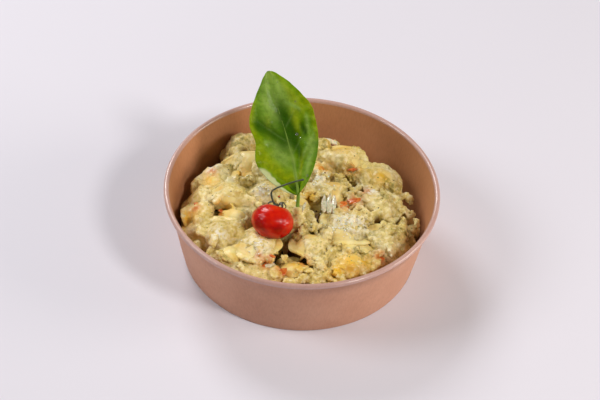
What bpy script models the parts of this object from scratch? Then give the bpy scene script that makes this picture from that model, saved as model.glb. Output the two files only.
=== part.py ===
"""Paper bowl of stuffed pasta in pesto cream, with a cherry tomato and a basil leaf on top.

Metres, +Z up. The origin is on the bowl's axis at the plane it stands on, and -Y is the side
that faces a diner. The pasta is one heap. Everything rests in the bowl, and nothing moves.
"""

import math
from collections import namedtuple

import bmesh
import bpy
from mathutils import Matrix, Vector

MM = 0.001
GAP = 0.3 * MM

# Driving dimensions of the bowl: a pressed paper salad bowl, 150 mm over its rolled rim.
RIM_RADIUS = 75.0 * MM
BOWL_HEIGHT = 45.0 * MM
FOOT_RADIUS = 64.0 * MM
PAPER = 0.6 * MM
BEAD_RADIUS = 1.5 * MM
FLOOR_RISE = 5.0 * MM
FOOT_FOLD_HEIGHT = 4.2 * MM
BOWL_STEPS = 56

# Driving dimensions of the food.
MOUND_RADIUS = 64.0 * MM
MOUND_TOP = 36.5 * MM
MOUND_SQUARENESS = 4.0
MOUND_EDGE_BACK = 11.0 * MM
MOUND_EDGE_FRONT = 31.0 * MM
CORE_SINK = 6.0 * MM
PASTA_WIDTH = 31.0 * MM
PASTA_DEPTH = 22.0 * MM
PASTA_BELLY = 12.0 * MM
PASTA_BRIM = 2.6 * MM
PASTA_WRAP = math.radians(130)
EDGE_PIECES = 13
EDGE_RADIUS = 56.0 * MM
EDGE_SINK = 4.0 * MM
HEAP_VOXEL = 1.0 * MM
HEAP_TRIANGLES = 4900

TOMATO_RADIUS = 11.5 * MM
TOMATO_HEIGHT = 19.0 * MM
TOMATO_CENTRE = Vector((-14.8, -25.2, 43.2)) * MM
TOMATO_STALK_DIRECTION = Vector((0.20, 0.66, 0.72)).normalized()

LEAF_FOOT = Vector((-1.4, -17.0, 34.0)) * MM
LEAF_BASE = Vector((-2.6, -11.0, 50.0)) * MM
LEAF_TIP = Vector((-21.8, 40.0, 92.7)) * MM
LEAF_MIDRIB_SWAY = 1.7 * MM
LEAF_THICKNESS = 0.8 * MM


def new_collection(name):
    collection = bpy.data.collections.new(name)
    bpy.context.scene.collection.children.link(collection)
    return collection


for old in list(bpy.data.objects):
    bpy.data.objects.remove(old, do_unlink=True)
PARTS = new_collection("bowl_of_tortellini")
CUTTERS = new_collection("cutters")


def material(name, colour, roughness, metallic=0.0):
    made = bpy.data.materials.new(name)
    made.use_nodes = True
    shader = made.node_tree.nodes["Principled BSDF"]
    shader.inputs["Base Color"].default_value = (*colour, 1.0)
    shader.inputs["Roughness"].default_value = roughness
    shader.inputs["Metallic"].default_value = metallic
    return made


def add_object(name, mesh, collection=PARTS, finish=None):
    made = bpy.data.objects.new(name, mesh)
    collection.objects.link(made)
    if finish is not None:
        mesh.materials.append(finish)
    return made


def as_cutter(made):
    made.hide_render = True
    made.display_type = "WIRE"
    return made


def mesh_from(name, bm):
    bmesh.ops.recalc_face_normals(bm, faces=bm.faces)
    mesh = bpy.data.meshes.new(name)
    bm.to_mesh(mesh)
    bm.free()
    return mesh


def turned(name, profile, closed, steps, collection=PARTS, finish=None):
    """A profile of (radius, height) points, run down its outer side, turned about Z."""
    bm = bmesh.new()
    corners = [bm.verts.new((radius, 0.0, height)) for radius, height in profile]
    for first, second in zip(corners, corners[1:]):
        bm.edges.new((first, second))
    if closed:
        bm.edges.new((corners[-1], corners[0]))
    mesh = bpy.data.meshes.new(name)
    bm.to_mesh(mesh)
    bm.free()
    made = add_object(name, mesh, collection, finish)
    screw = made.modifiers.new("turn", "SCREW")
    screw.steps = steps
    screw.render_steps = steps
    screw.use_merge_vertices = True
    screw.merge_threshold = 0.00005
    screw.use_smooth_shade = True
    return made


def boolean(made, cutter, operation, solver="EXACT"):
    cut = made.modifiers.new(cutter.name, "BOOLEAN")
    cut.operation = operation
    cut.object = cutter
    cut.solver = solver


def tube_mesh(name, points, radii, bevel_resolution=2):
    """A round wire through the points, with closed ends, as a welded mesh."""
    curve = bpy.data.curves.new(name, "CURVE")
    curve.dimensions = "3D"
    curve.bevel_depth = 1.0
    curve.bevel_resolution = bevel_resolution
    curve.use_fill_caps = True
    spline = curve.splines.new("POLY")
    spline.points.add(len(points) - 1)
    for knot, place, radius in zip(spline.points, points, radii):
        knot.co = (*place, 1.0)
        knot.radius = radius
    guide = bpy.data.objects.new(name, curve)
    bpy.context.scene.collection.objects.link(guide)
    solved = guide.evaluated_get(bpy.context.evaluated_depsgraph_get())
    mesh = bpy.data.meshes.new_from_object(solved)
    bm = bmesh.new()
    bm.from_mesh(mesh)
    bmesh.ops.remove_doubles(bm, verts=bm.verts, dist=0.00001)
    bmesh.ops.recalc_face_normals(bm, faces=bm.faces)
    bm.to_mesh(mesh)
    bm.free()
    bpy.data.objects.remove(guide, do_unlink=True)
    bpy.data.curves.remove(curve)
    return mesh


def smooth_path(knots, pieces):
    """Points on a Catmull-Rom curve through the knots."""
    ends = [2 * knots[0] - knots[1], *knots, 2 * knots[-1] - knots[-2]]
    points = []
    for start in range(len(knots) - 1):
        a, b, c, d = ends[start:start + 4]
        for step in range(pieces):
            t = step / pieces
            points.append(0.5 * (2 * b + (c - a) * t + (2 * a - 5 * b + 4 * c - d) * t * t
                                 + (3 * b - a - 3 * c + d) * t ** 3))
    points.append(knots[-1])
    return points


# ---------------------------------------------------------------- the paper bowl

WALL_TOP_OUTER = RIM_RADIUS - 2 * BEAD_RADIUS + PAPER
BEAD_HEIGHT = BOWL_HEIGHT - BEAD_RADIUS


def wall_outer_radius(height):
    return FOOT_RADIUS + (WALL_TOP_OUTER - FOOT_RADIUS) * height / BEAD_HEIGHT


def wall_inner_radius(height):
    return wall_outer_radius(height) - PAPER


def bowl_wall(finish):
    """The side: one strip of card, rolled outwards at the rim and folded in under the foot."""
    profile = []
    bead_centre = RIM_RADIUS - BEAD_RADIUS
    for step in range(7):
        angle = math.radians(180 - 45 * step)
        profile.append((bead_centre + BEAD_RADIUS * math.cos(angle),
                        BEAD_HEIGHT + BEAD_RADIUS * math.sin(angle)))
    profile.append((wall_outer_radius(BEAD_HEIGHT - 1.4 * MM), BEAD_HEIGHT - 1.4 * MM))
    profile.append((wall_outer_radius(0.6 * MM), 0.6 * MM))
    profile.append((FOOT_RADIUS - 0.6 * MM, 0.0))
    fold_outer = wall_inner_radius(0.0) - PAPER - 2 * GAP
    fold_inner = fold_outer - PAPER
    profile.append((fold_inner + 0.5 * MM, 0.0))
    profile.append((fold_inner, 0.5 * MM))
    profile.append((fold_inner + 0.4 * MM, FOOT_FOLD_HEIGHT))
    profile.append((fold_outer + 0.4 * MM, FOOT_FOLD_HEIGHT))
    profile.append((fold_outer, PAPER))
    profile.append((wall_inner_radius(PAPER), PAPER))
    return turned("bowl_wall", profile, True, BOWL_STEPS, finish=finish)


def bowl_floor(finish):
    """The base: a card disc held up inside the foot, its edge turned down into the fold."""
    top = FLOOR_RISE + PAPER
    flange_foot = PAPER + GAP
    profile = [
        (0.0, top),
        (wall_inner_radius(top) - GAP - 0.6 * MM, top),
        (wall_inner_radius(top - 0.6 * MM) - GAP, top - 0.6 * MM),
        (wall_inner_radius(flange_foot) - GAP, flange_foot),
        (wall_inner_radius(flange_foot) - GAP - PAPER, flange_foot),
        (wall_inner_radius(FLOOR_RISE) - GAP - PAPER - 0.3 * MM, FLOOR_RISE - 0.3 * MM),
        (wall_inner_radius(FLOOR_RISE) - GAP - PAPER - 0.6 * MM, FLOOR_RISE),
        (0.0, FLOOR_RISE),
    ]
    return turned("bowl_floor", profile, False, BOWL_STEPS, finish=finish)


# ---------------------------------------------------------------- the pasta

# One piece: where its middle lies, which way its width points (degrees from +X), how far its
# brim is lifted, its size against the common one, how far it stands out of the mound, and its
# shape: "moon" is a folded half disc, "hat" one with its ends drawn together, "pillow" a square.
Pasta = namedtuple("Pasta", "x y heading lift size proud shape")

PASTA = (
    Pasta(-23, -37, 48, -10, 0.88, 3.5, "pillow"),
    Pasta(-53, -9, 80, 10, 0.80, 1.0, "hat"),
    Pasta(-44, -29, -52, 8, 0.95, 1.0, "moon"),
    Pasta(-49, 21, 205, -10, 0.95, 3.0, "moon"),
    Pasta(-39, 1, -6, 6, 1.05, 1.5, "moon"),
    Pasta(-35, -14, -40, 0, 0.85, 0.0, "hat"),
    Pasta(-20, 3, -14, 8, 0.90, 1.0, "moon"),
    Pasta(-32, 33, 184, -12, 0.95, 3.5, "moon"),
    Pasta(-32, 47, 40, 12, 0.98, 8.0, "hat"),
    Pasta(-37, 41, 120, 0, 0.80, 3.0, "moon"),
    Pasta(-28, 15, 30, 0, 0.80, -1.0, "pillow"),
    Pasta(-4, -50, 10, -10, 0.95, 2.0, "hat"),
    Pasta(-22, -54, -25, -5, 0.80, 0.0, "pillow"),
    Pasta(20, 32, -37, 10, 1.00, 5.0, "moon"),
    Pasta(2, 44, 10, 0, 0.95, 3.5, "moon"),
    Pasta(14, 9, 196, -14, 0.95, 2.0, "moon"),
    Pasta(31, 2, 40, 0, 0.70, 1.0, "hat"),
    Pasta(43, -1, -30, 5, 0.80, 2.0, "moon"),
    Pasta(44, 23, 8, 10, 0.88, 4.5, "pillow"),
    Pasta(51, 9, 100, 0, 0.80, 2.0, "hat"),
    Pasta(22, -22, 8, 10, 1.10, 4.0, "pillow"),
    Pasta(7, -32, 163, 8, 0.95, 2.5, "moon"),
    Pasta(28, -47, 12, 5, 0.90, 2.0, "moon"),
    Pasta(44, -28, -42, 10, 0.95, 1.5, "moon"),
    Pasta(54, -15, 75, 0, 0.70, 1.5, "hat"),
    Pasta(4, 24, -20, 5, 0.90, 0.5, "moon"),
    Pasta(-4, -13, 20, 6, 0.80, 3.0, "pillow"),
)


def edge_ring():
    """A lower ring of pieces along the bowl's wall, which the upper ones overlap."""
    shapes = ("moon", "hat", "pillow")
    ring = []
    for step in range(EDGE_PIECES):
        angle = 2 * math.pi * step / EDGE_PIECES + 0.12
        x = EDGE_RADIUS / MM * math.cos(angle)
        y = EDGE_RADIUS / MM * math.sin(angle)
        sunk = EDGE_SINK / MM * max(0.0, 1.0 - 2 * fullness(x, y))
        ring.append(Pasta(
            x, y, math.degrees(angle) - 90 + 25 * math.sin(5 * angle),
            12 * math.cos(3 * angle), 0.85, -0.5 + math.sin(7 * angle) - sunk, shapes[step % 3]))
    return ring


def fullness(x, y):
    """How full the bowl is towards its wall, from 0 at the back and right to 1 at the front."""
    reach = math.hypot(x, y)
    return max(0.0, min(1.0, 0.45 - (y + 0.2 * x) / reach)) if reach > 0 else 0.0


def mound_height(x, y):
    """The heap's mean surface: flat on top, and falling at its edge to where it meets the wall."""
    edge = MOUND_EDGE_BACK + (MOUND_EDGE_FRONT - MOUND_EDGE_BACK) * fullness(x, y)
    share = min(math.hypot(x, y) / MOUND_RADIUS, 1.0)
    return edge + (MOUND_TOP - edge) * math.sqrt(1.0 - share ** MOUND_SQUARENESS)


def mound_normal(x, y):
    step = 2.0 * MM
    slope_x = (mound_height(x + step, y) - mound_height(x - step, y)) / (2 * step)
    slope_y = (mound_height(x, y + step) - mound_height(x, y - step)) / (2 * step)
    steepest = 1.1
    slope_x = max(-steepest, min(steepest, slope_x))
    slope_y = max(-steepest, min(steepest, slope_y))
    return Vector((-slope_x, -slope_y, 1.0)).normalized()


def pasta_outline(shape, angle):
    """Half width and half depth of a piece's edge in one direction from its middle."""
    across = math.cos(angle)
    along = math.sin(angle)
    if shape == "pillow":
        round_off = (abs(across) ** 5 + abs(along) ** 5) ** -0.2
        return 0.47 * PASTA_WIDTH * round_off * across, 0.62 * PASTA_DEPTH * round_off * along
    depth = 0.75 if along > 0 else 0.25
    return 0.5 * PASTA_WIDTH * across, depth * PASTA_DEPTH * along


def add_pasta(bm, piece):
    """A stuffed piece: a round belly inside a thin pressed brim, wrapped for a hat shape."""
    made = bmesh.ops.create_uvsphere(bm, u_segments=24, v_segments=12, radius=1.0)["verts"]
    wrap_radius = PASTA_WIDTH / PASTA_WRAP
    for corner in made:
        side, forward, up = corner.co
        reach = min(1.0, math.hypot(side, forward))
        half_width, half_depth = pasta_outline(piece.shape, math.atan2(forward, side))
        x = half_width * reach
        y = half_depth * reach
        folded_edge = piece.shape != "pillow" and forward < 0
        belly = max(0.0, 1.0 - (0.8 if folded_edge else 1.75) * reach ** 2)
        z = math.copysign(min(1.0, 3.0 * abs(up)), up) * 0.5 * (
            PASTA_BRIM + (PASTA_BELLY - PASTA_BRIM) * belly)
        if piece.shape == "hat":
            turn = x / wrap_radius
            x = (wrap_radius + z) * math.sin(turn)
            z = (wrap_radius + z) * math.cos(turn) - wrap_radius
        corner.co = (x, y, z)
    place = Vector((piece.x, piece.y, 0.0)) * MM
    normal = mound_normal(place.x, place.y)
    place.z = mound_height(place.x, place.y)
    place += normal * (piece.proud * MM - 0.35 * PASTA_BELLY)
    settle = Vector((0.0, 0.0, 1.0)).rotation_difference(normal).to_matrix().to_4x4()
    matrix = (Matrix.Translation(place) @ settle
              @ Matrix.Rotation(math.radians(piece.heading), 4, "Z")
              @ Matrix.Rotation(math.radians(piece.lift), 4, "X")
              @ Matrix.Scale(piece.size, 4))
    bmesh.ops.transform(bm, matrix=matrix, verts=made)


def add_core(bm):
    """The body of the heap below its top layer, which overfills the bowl until it is trimmed."""
    spread = RIM_RADIUS
    top = bmesh.ops.create_grid(bm, x_segments=30, y_segments=30, size=spread)["verts"]
    for corner in top:
        corner.co.z = mound_height(corner.co.x, corner.co.y) - CORE_SINK
    faces = {face for corner in top for face in corner.link_faces}
    lowered = bmesh.ops.extrude_face_region(bm, geom=list(faces), use_keep_orig=True)["geom"]
    for item in lowered:
        if isinstance(item, bmesh.types.BMVert):
            item.co.z = -FLOOR_RISE


def largest_body(bm):
    """Keeps the outer skin and deletes the skins of hollows between the pieces."""
    unseen = set(bm.verts)
    bodies = []
    while unseen:
        body = []
        queue = [unseen.pop()]
        while queue:
            corner = queue.pop()
            body.append(corner)
            for edge in corner.link_edges:
                other = edge.other_vert(corner)
                if other in unseen:
                    unseen.remove(other)
                    queue.append(other)
        bodies.append(body)
    bodies.sort(key=len)
    for body in bodies[:-1]:
        bmesh.ops.delete(bm, geom=body, context="VERTS")


def pasta_heap(finish, seats):
    """All the pasta with its sauce as one solid, up to its uneven top."""
    bm = bmesh.new()
    add_core(bm)
    for piece in (*PASTA, *edge_ring()):
        add_pasta(bm, piece)
    rough = add_object("rough_heap", mesh_from("rough_heap", bm), CUTTERS)
    remesh = rough.modifiers.new("merge", "REMESH")
    remesh.mode = "VOXEL"
    remesh.voxel_size = HEAP_VOXEL
    solved = rough.evaluated_get(bpy.context.evaluated_depsgraph_get())
    merged = bpy.data.meshes.new_from_object(solved)
    bpy.data.objects.remove(rough, do_unlink=True)

    bm = bmesh.new()
    bm.from_mesh(merged)
    largest_body(bm)
    bmesh.ops.smooth_vert(bm, verts=bm.verts, factor=0.4,
                          use_axis_x=True, use_axis_y=True, use_axis_z=True)
    heap = add_object("pasta_heap", mesh_from("pasta_heap", bm), PARTS, finish)
    triangles = 2 * len(heap.data.polygons)
    thin = heap.modifiers.new("fewer_faces", "DECIMATE")
    thin.ratio = HEAP_TRIANGLES / triangles

    room = turned("bowl_room", [
        (0.0, BOWL_HEIGHT + 30 * MM),
        (wall_inner_radius(BOWL_HEIGHT) - GAP, BOWL_HEIGHT + 30 * MM),
        (wall_inner_radius(BEAD_HEIGHT) - GAP, BEAD_HEIGHT),
        (wall_inner_radius(FLOOR_RISE + PAPER + GAP) - GAP, FLOOR_RISE + PAPER + GAP),
        (0.0, FLOOR_RISE + PAPER + GAP),
    ], False, BOWL_STEPS, CUTTERS)
    boolean(heap, as_cutter(room), "INTERSECT")
    for seat in seats:
        boolean(heap, as_cutter(seat), "DIFFERENCE")
    return heap


# ---------------------------------------------------------------- the cherry tomato

def tomato_mesh(name, grow):
    bm = bmesh.new()
    bmesh.ops.create_uvsphere(bm, u_segments=24, v_segments=14, radius=1.0)
    for corner in bm.verts:
        dimple = 0.16 * math.exp(-((1.0 - corner.co.z) / 0.10)) if corner.co.z > 0 else 0.0
        corner.co.x *= TOMATO_RADIUS + grow
        corner.co.y *= TOMATO_RADIUS + grow
        corner.co.z *= (0.5 * TOMATO_HEIGHT + grow) * (1.0 - dimple)
    return mesh_from(name, bm)


def tomato_matrix():
    upright = Vector((0.0, 0.0, 1.0)).rotation_difference(TOMATO_STALK_DIRECTION)
    return Matrix.Translation(TOMATO_CENTRE) @ upright.to_matrix().to_4x4()


def cherry_tomato(finish):
    tomato = add_object("cherry_tomato", tomato_mesh("cherry_tomato", 0.0), PARTS, finish)
    tomato.matrix_world = tomato_matrix()
    tomato.data.shade_smooth()
    return tomato


def tomato_seat():
    seat = add_object("tomato_seat", tomato_mesh("tomato_seat", GAP), CUTTERS)
    seat.matrix_world = tomato_matrix()
    return seat


def tomato_stalk(finish):
    """The dried calyx, a small five-pointed star, and the thin stalk that curls up from it."""
    points = 5
    star = bmesh.new()
    rim = []
    for step in range(2 * points):
        angle = math.pi * step / points
        reach = (3.4 if step % 2 == 0 else 1.1) * MM
        curl = (1.3 if step % 2 == 0 else 0.0) * MM
        rim.append(star.verts.new((reach * math.cos(angle), reach * math.sin(angle), curl)))
    star.faces.new(rim)
    bmesh.ops.poke(star, faces=star.faces)
    calyx = add_object("tomato_stalk", mesh_from("tomato_stalk", star), PARTS, finish)
    crown = TOMATO_CENTRE + TOMATO_STALK_DIRECTION * (0.46 * TOMATO_HEIGHT + 0.6 * MM)
    upright = Vector((0.0, 0.0, 1.0)).rotation_difference(TOMATO_STALK_DIRECTION)
    calyx.matrix_world = Matrix.Translation(crown) @ upright.to_matrix().to_4x4()
    thick = calyx.modifiers.new("sepal_thickness", "SOLIDIFY")
    thick.thickness = 0.7 * MM
    thick.offset = 1.0

    knots = [crown + TOMATO_STALK_DIRECTION * 0.2 * MM] + [
        Vector(point) * MM for point in (
            (-15.6, -19.0, 53.7), (-16.2, -17.5, 57.2), (-14.3, -16.5, 59.0),
            (-9.8, -15.0, 60.5), (-4.5, -13.0, 61.5), (0.7, -11.0, 61.8))]
    route = smooth_path(knots, 3)
    radii = [(0.55 - 0.10 * step / (len(route) - 1)) * MM for step in range(len(route))]
    wire = add_object("stalk_wire", tube_mesh("stalk_wire", route, radii), CUTTERS)
    boolean(calyx, as_cutter(wire), "UNION")
    return calyx


# ---------------------------------------------------------------- the basil leaf

def leaf_frame():
    """Axes of the leaf: along its midrib, across it, and out of its upper face."""
    along = (LEAF_TIP - LEAF_BASE).normalized()
    outward = Vector((0.05, -0.72, 0.69))
    across = along.cross(outward).normalized()
    return along, across, across.cross(along).normalized()


def leaf_half_width(t, side):
    """An ovate blade in mm, its right side fullest past the middle and its left side waisted."""
    if side > 0:
        width = 55.5 * t ** 0.8 * (1.0 - t) ** 0.76 + math.exp(-((t - 0.66) / 0.08) ** 2)
    else:
        width = 62.0 * t ** 0.75 * (1.0 - t) ** 0.98 * (1.0 - 0.19 * math.exp(-((t - 0.47) / 0.11) ** 2))
    return max(0.5, width) * MM


def leaf_point(t, side):
    """A point of the blade, t along the midrib from 0 to 1 and side across from -1 to 1."""
    along, across, outward = leaf_frame()
    length = (LEAF_TIP - LEAF_BASE).length
    edge = leaf_half_width(t, side)
    sway = LEAF_MIDRIB_SWAY * math.sin(math.pi * t) * (1.0 - abs(side))
    arch = -3.0 * MM * math.sin(math.pi * t)
    cup = 5.0 * MM * abs(side) ** 1.8 * math.sin(math.pi * min(1.0, 1.15 * t))
    quilt = 1.2 * MM * math.sin(math.pi * abs(side)) * math.sin(5 * math.pi * t) * (1.0 - t)
    return (LEAF_BASE + along * (length * t) + across * (side * edge + sway)
            + outward * (arch + cup + quilt))


def basil_leaf(finish):
    rows = 18
    columns = 8
    bm = bmesh.new()
    bmesh.ops.create_grid(bm, x_segments=columns, y_segments=rows, size=1.0)
    for corner in bm.verts:
        side = corner.co.x
        t = 0.5 * (corner.co.y + 1.0)
        corner.co = leaf_point(t, side)
    leaf = add_object("basil_leaf", mesh_from("basil_leaf", bm), PARTS, finish)
    blade = leaf.modifiers.new("blade_thickness", "SOLIDIFY")
    blade.thickness = LEAF_THICKNESS
    blade.offset = 0.0
    blade.use_even_offset = True

    rib = [leaf_point(t, 0.0) for t in (0.0, 0.12, 0.25, 0.4, 0.55, 0.7, 0.82)]
    route = smooth_path([LEAF_FOOT, 0.5 * (LEAF_FOOT + LEAF_BASE) + Vector((0, 0, 0.5 * MM))], 3)
    route = route + rib
    radii = [1.15 * MM] * (len(route) - len(rib)) + [1.0 * MM, 0.95 * MM, 0.85 * MM,
                                                   0.75 * MM, 0.65 * MM, 0.55 * MM, 0.45 * MM]
    stalk = add_object("petiole", tube_mesh("petiole", route, radii), CUTTERS)
    boolean(leaf, as_cutter(stalk), "UNION", "MANIFOLD")
    return leaf


def petiole_seat():
    direction = (LEAF_BASE - LEAF_FOOT).normalized()
    ends = [LEAF_FOOT - direction * GAP, LEAF_BASE + direction * 2 * MM]
    return add_object("petiole_seat", tube_mesh("petiole_seat", ends, [1.5 * MM] * 2), CUTTERS)


kraft = material("kraft_paper", (0.36, 0.19, 0.10), 0.55)
creamed_pasta = material("creamed_pasta", (0.68, 0.53, 0.22), 0.35)
tomato_skin = material("tomato_skin", (0.60, 0.02, 0.01), 0.15)
tomato_stem = material("tomato_stem", (0.05, 0.08, 0.03), 0.6)
basil = material("basil", (0.13, 0.26, 0.03), 0.4)

bowl_wall(kraft)
bowl_floor(kraft)
cherry_tomato(tomato_skin)
tomato_stalk(tomato_stem)
basil_leaf(basil)
pasta_heap(creamed_pasta, [tomato_seat(), petiole_seat()])
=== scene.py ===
import math
import random
from collections import namedtuple

import bmesh
import bpy
import numpy as np
from mathutils import Matrix, Vector, noise
from mathutils.bvhtree import BVHTree


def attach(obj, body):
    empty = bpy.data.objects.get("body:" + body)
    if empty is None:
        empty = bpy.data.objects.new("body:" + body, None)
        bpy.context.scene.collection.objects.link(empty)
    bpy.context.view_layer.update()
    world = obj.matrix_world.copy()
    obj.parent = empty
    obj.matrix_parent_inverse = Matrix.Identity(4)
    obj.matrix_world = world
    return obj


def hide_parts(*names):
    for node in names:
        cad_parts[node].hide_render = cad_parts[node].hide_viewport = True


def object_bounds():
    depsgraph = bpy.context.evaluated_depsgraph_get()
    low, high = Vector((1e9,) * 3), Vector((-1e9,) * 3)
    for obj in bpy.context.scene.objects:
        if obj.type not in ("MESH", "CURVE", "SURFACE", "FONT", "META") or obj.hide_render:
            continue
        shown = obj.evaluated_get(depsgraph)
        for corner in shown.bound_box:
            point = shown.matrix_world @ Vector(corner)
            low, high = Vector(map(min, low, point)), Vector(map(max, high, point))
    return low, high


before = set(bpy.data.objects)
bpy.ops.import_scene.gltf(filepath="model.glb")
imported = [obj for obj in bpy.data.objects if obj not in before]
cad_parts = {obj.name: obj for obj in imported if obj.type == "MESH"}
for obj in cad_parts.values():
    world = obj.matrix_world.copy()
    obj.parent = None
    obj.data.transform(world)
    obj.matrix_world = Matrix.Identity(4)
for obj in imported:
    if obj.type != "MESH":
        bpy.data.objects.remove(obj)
cad_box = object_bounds()

# ---------------------------------------------------------------- studio
# A long-lens camera looks down at the bowl from the diner's side. The bowl stands on a plain
# pale floor, lit by four soft boxes: behind left, front right, high left and low right. A dim
# sky fills the shadows.

MM = 0.001
scene = bpy.context.scene
scene.view_settings.view_transform = "Standard"

CAMERA_PLACE = Vector((0.0, -1.0927, 1.0726))
CAMERA_AIM = Vector((-0.0008, -0.0094, 0.0450))
CAMERA_ROLL = math.radians(3.08)
CAMERA_LENS = 166.2


def linear(hex_colour, alpha=1.0):
    """An sRGB hex colour as the linear colour that Blender's sockets hold."""
    parts = [int(hex_colour[place:place + 2], 16) / 255 for place in (1, 3, 5)]
    parts = [part / 12.92 if part <= 0.04045 else ((part + 0.055) / 1.055) ** 2.4 for part in parts]
    return (*parts, alpha)


camera = bpy.data.objects.new("camera", bpy.data.cameras.new("camera"))
camera.data.lens = CAMERA_LENS
camera.data.sensor_width = 36.0
camera.data.clip_start = 0.1
camera.data.clip_end = 20.0
sight = (CAMERA_AIM - CAMERA_PLACE).to_track_quat("-Z", "Y").to_matrix().to_4x4()
camera.matrix_world = Matrix.Translation(CAMERA_PLACE) @ sight @ Matrix.Rotation(CAMERA_ROLL, 4, "Z")
scene.collection.objects.link(camera)
scene.camera = camera


def soft_light(name, place, size, watts, colour):
    lamp = bpy.data.lights.new(name, "AREA")
    lamp.shape = "DISK"
    lamp.size = size
    lamp.energy = watts
    lamp.color = linear(colour)[:3]
    lit = bpy.data.objects.new(name, lamp)
    lit.location = place
    lit.rotation_euler = (Vector((0.0, 0.0, 0.03)) - Vector(place)).to_track_quat("-Z", "Y").to_euler()
    scene.collection.objects.link(lit)


soft_light("back_left_box", (-0.50, 0.86, 0.84), 0.5, 8.0, "#ffffff")
soft_light("front_right_box", (0.70, -0.59, 0.92), 0.25, 7.1, "#fffcf8")
soft_light("left_box", (-1.05, -0.1, 0.9), 0.6, 7.7, "#ffffff")
soft_light("right_box", (1.15, -0.1, 0.36), 0.6, 7.0, "#fff6ea")

sky = bpy.data.worlds.new("pale_sky")
sky.use_nodes = True
sky.node_tree.nodes["Background"].inputs["Color"].default_value = linear("#ece2d2")
sky.node_tree.nodes["Background"].inputs["Strength"].default_value = 0.15
scene.world = sky


def add_node(tree, kind, inputs=None, stops=None, **settings):
    """Adds a node, gives it its settings and ramp stops, and sets or links its inputs."""
    made = tree.nodes.new(kind)
    for name, value in settings.items():
        setattr(made, name, value)
    if stops:
        ramp = made.color_ramp
        while len(ramp.elements) < len(stops):
            ramp.elements.new(0.5)
        for element, (place, colour) in zip(ramp.elements, stops):
            element.position = place
            element.color = linear(colour)
    for socket, value in (inputs or {}).items():
        if isinstance(value, bpy.types.NodeSocket):
            tree.links.new(value, made.inputs[socket])
        else:
            made.inputs[socket].default_value = value
    return made


def new_material(name, **shader_inputs):
    """A material with its Principled shader's plain values set, and its coordinates in metres."""
    made = bpy.data.materials.new(name)
    made.use_nodes = True
    tree = made.node_tree
    shader = tree.nodes["Principled BSDF"]
    for socket, value in shader_inputs.items():
        shader.inputs[socket.replace("_", " ")].default_value = value
    where = add_node(tree, "ShaderNodeTexCoord").outputs["Object"]
    return made, tree, shader, where


floor_finish, tree, shader, where = new_material("matt_white_sweep", Roughness=0.9)
tone = add_node(tree, "ShaderNodeTexNoise", {"Vector": where, "Scale": 3.0})
paint = add_node(tree, "ShaderNodeValToRGB", {"Fac": tone.outputs["Fac"]},
                 stops=[(0.3, "#dcd9e3"), (0.7, "#dedbe5")])
tree.links.new(paint.outputs["Color"], shader.inputs["Base Color"])
bpy.ops.mesh.primitive_plane_add(size=6.0, location=(0.0, 0.0, -0.0002))
floor = bpy.context.object
floor.name = "floor"
floor.data.materials.append(floor_finish)

# ---------------------------------------------------------------- kraft paper bowl
# A side of brown kraft card, lined with a thin film, is rolled outwards at the rim and folded
# in under the foot round the turned-down edge of a card disc. Its lap seam is at the back.

RIM_RADIUS = 75.0 * MM
BOWL_HEIGHT = 45.0 * MM
FOOT_RADIUS = 64.0 * MM
CARD = 0.6 * MM
BEAD_RADIUS = 1.5 * MM
FLOOR_RISE = 5.0 * MM
FLOOR_TOP = FLOOR_RISE + CARD
BEAD_HEIGHT = BOWL_HEIGHT - BEAD_RADIUS
SEAM_AT = math.radians(96)
SEAM_WIDTH = math.radians(6)


def wall_inner_radius(height):
    top = RIM_RADIUS - 2 * BEAD_RADIUS + CARD
    return FOOT_RADIUS + (top - FOOT_RADIUS) * height / BEAD_HEIGHT - CARD


def mesh_object(name, vertices, faces, finish, smooth=True):
    mesh = bpy.data.meshes.new(name)
    mesh.from_pydata([tuple(vertex) for vertex in vertices], [], faces)
    mesh.materials.append(finish)
    if smooth:
        mesh.shade_smooth()
    made = bpy.data.objects.new(name, mesh)
    scene.collection.objects.link(made)
    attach(made, "root")
    return made


def turned(name, profile, steps, finish, lap=0.0):
    """A closed profile of (radius, height) turned about Z, stepped outwards by lap at the seam."""
    vertices = []
    faces = []
    count = len(profile)
    for step in range(steps):
        angle = 2 * math.pi * step / steps
        away = abs((angle - SEAM_AT + math.pi) % (2 * math.pi) - math.pi)
        stand = lap * max(0.0, min(1.0, (SEAM_WIDTH - away) / (0.15 * SEAM_WIDTH)))
        for radius, height in profile:
            swell = stand if 2 * MM < height < BEAD_HEIGHT - 1 * MM else 0.0
            vertices.append(((radius + swell) * math.cos(angle), (radius + swell) * math.sin(angle), height))
        for place in range(count):
            after = (place + 1) % count
            nxt = (step + 1) % steps
            faces.append((step * count + place, step * count + after, nxt * count + after, nxt * count + place))
    return mesh_object(name, vertices, faces, finish)


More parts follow.
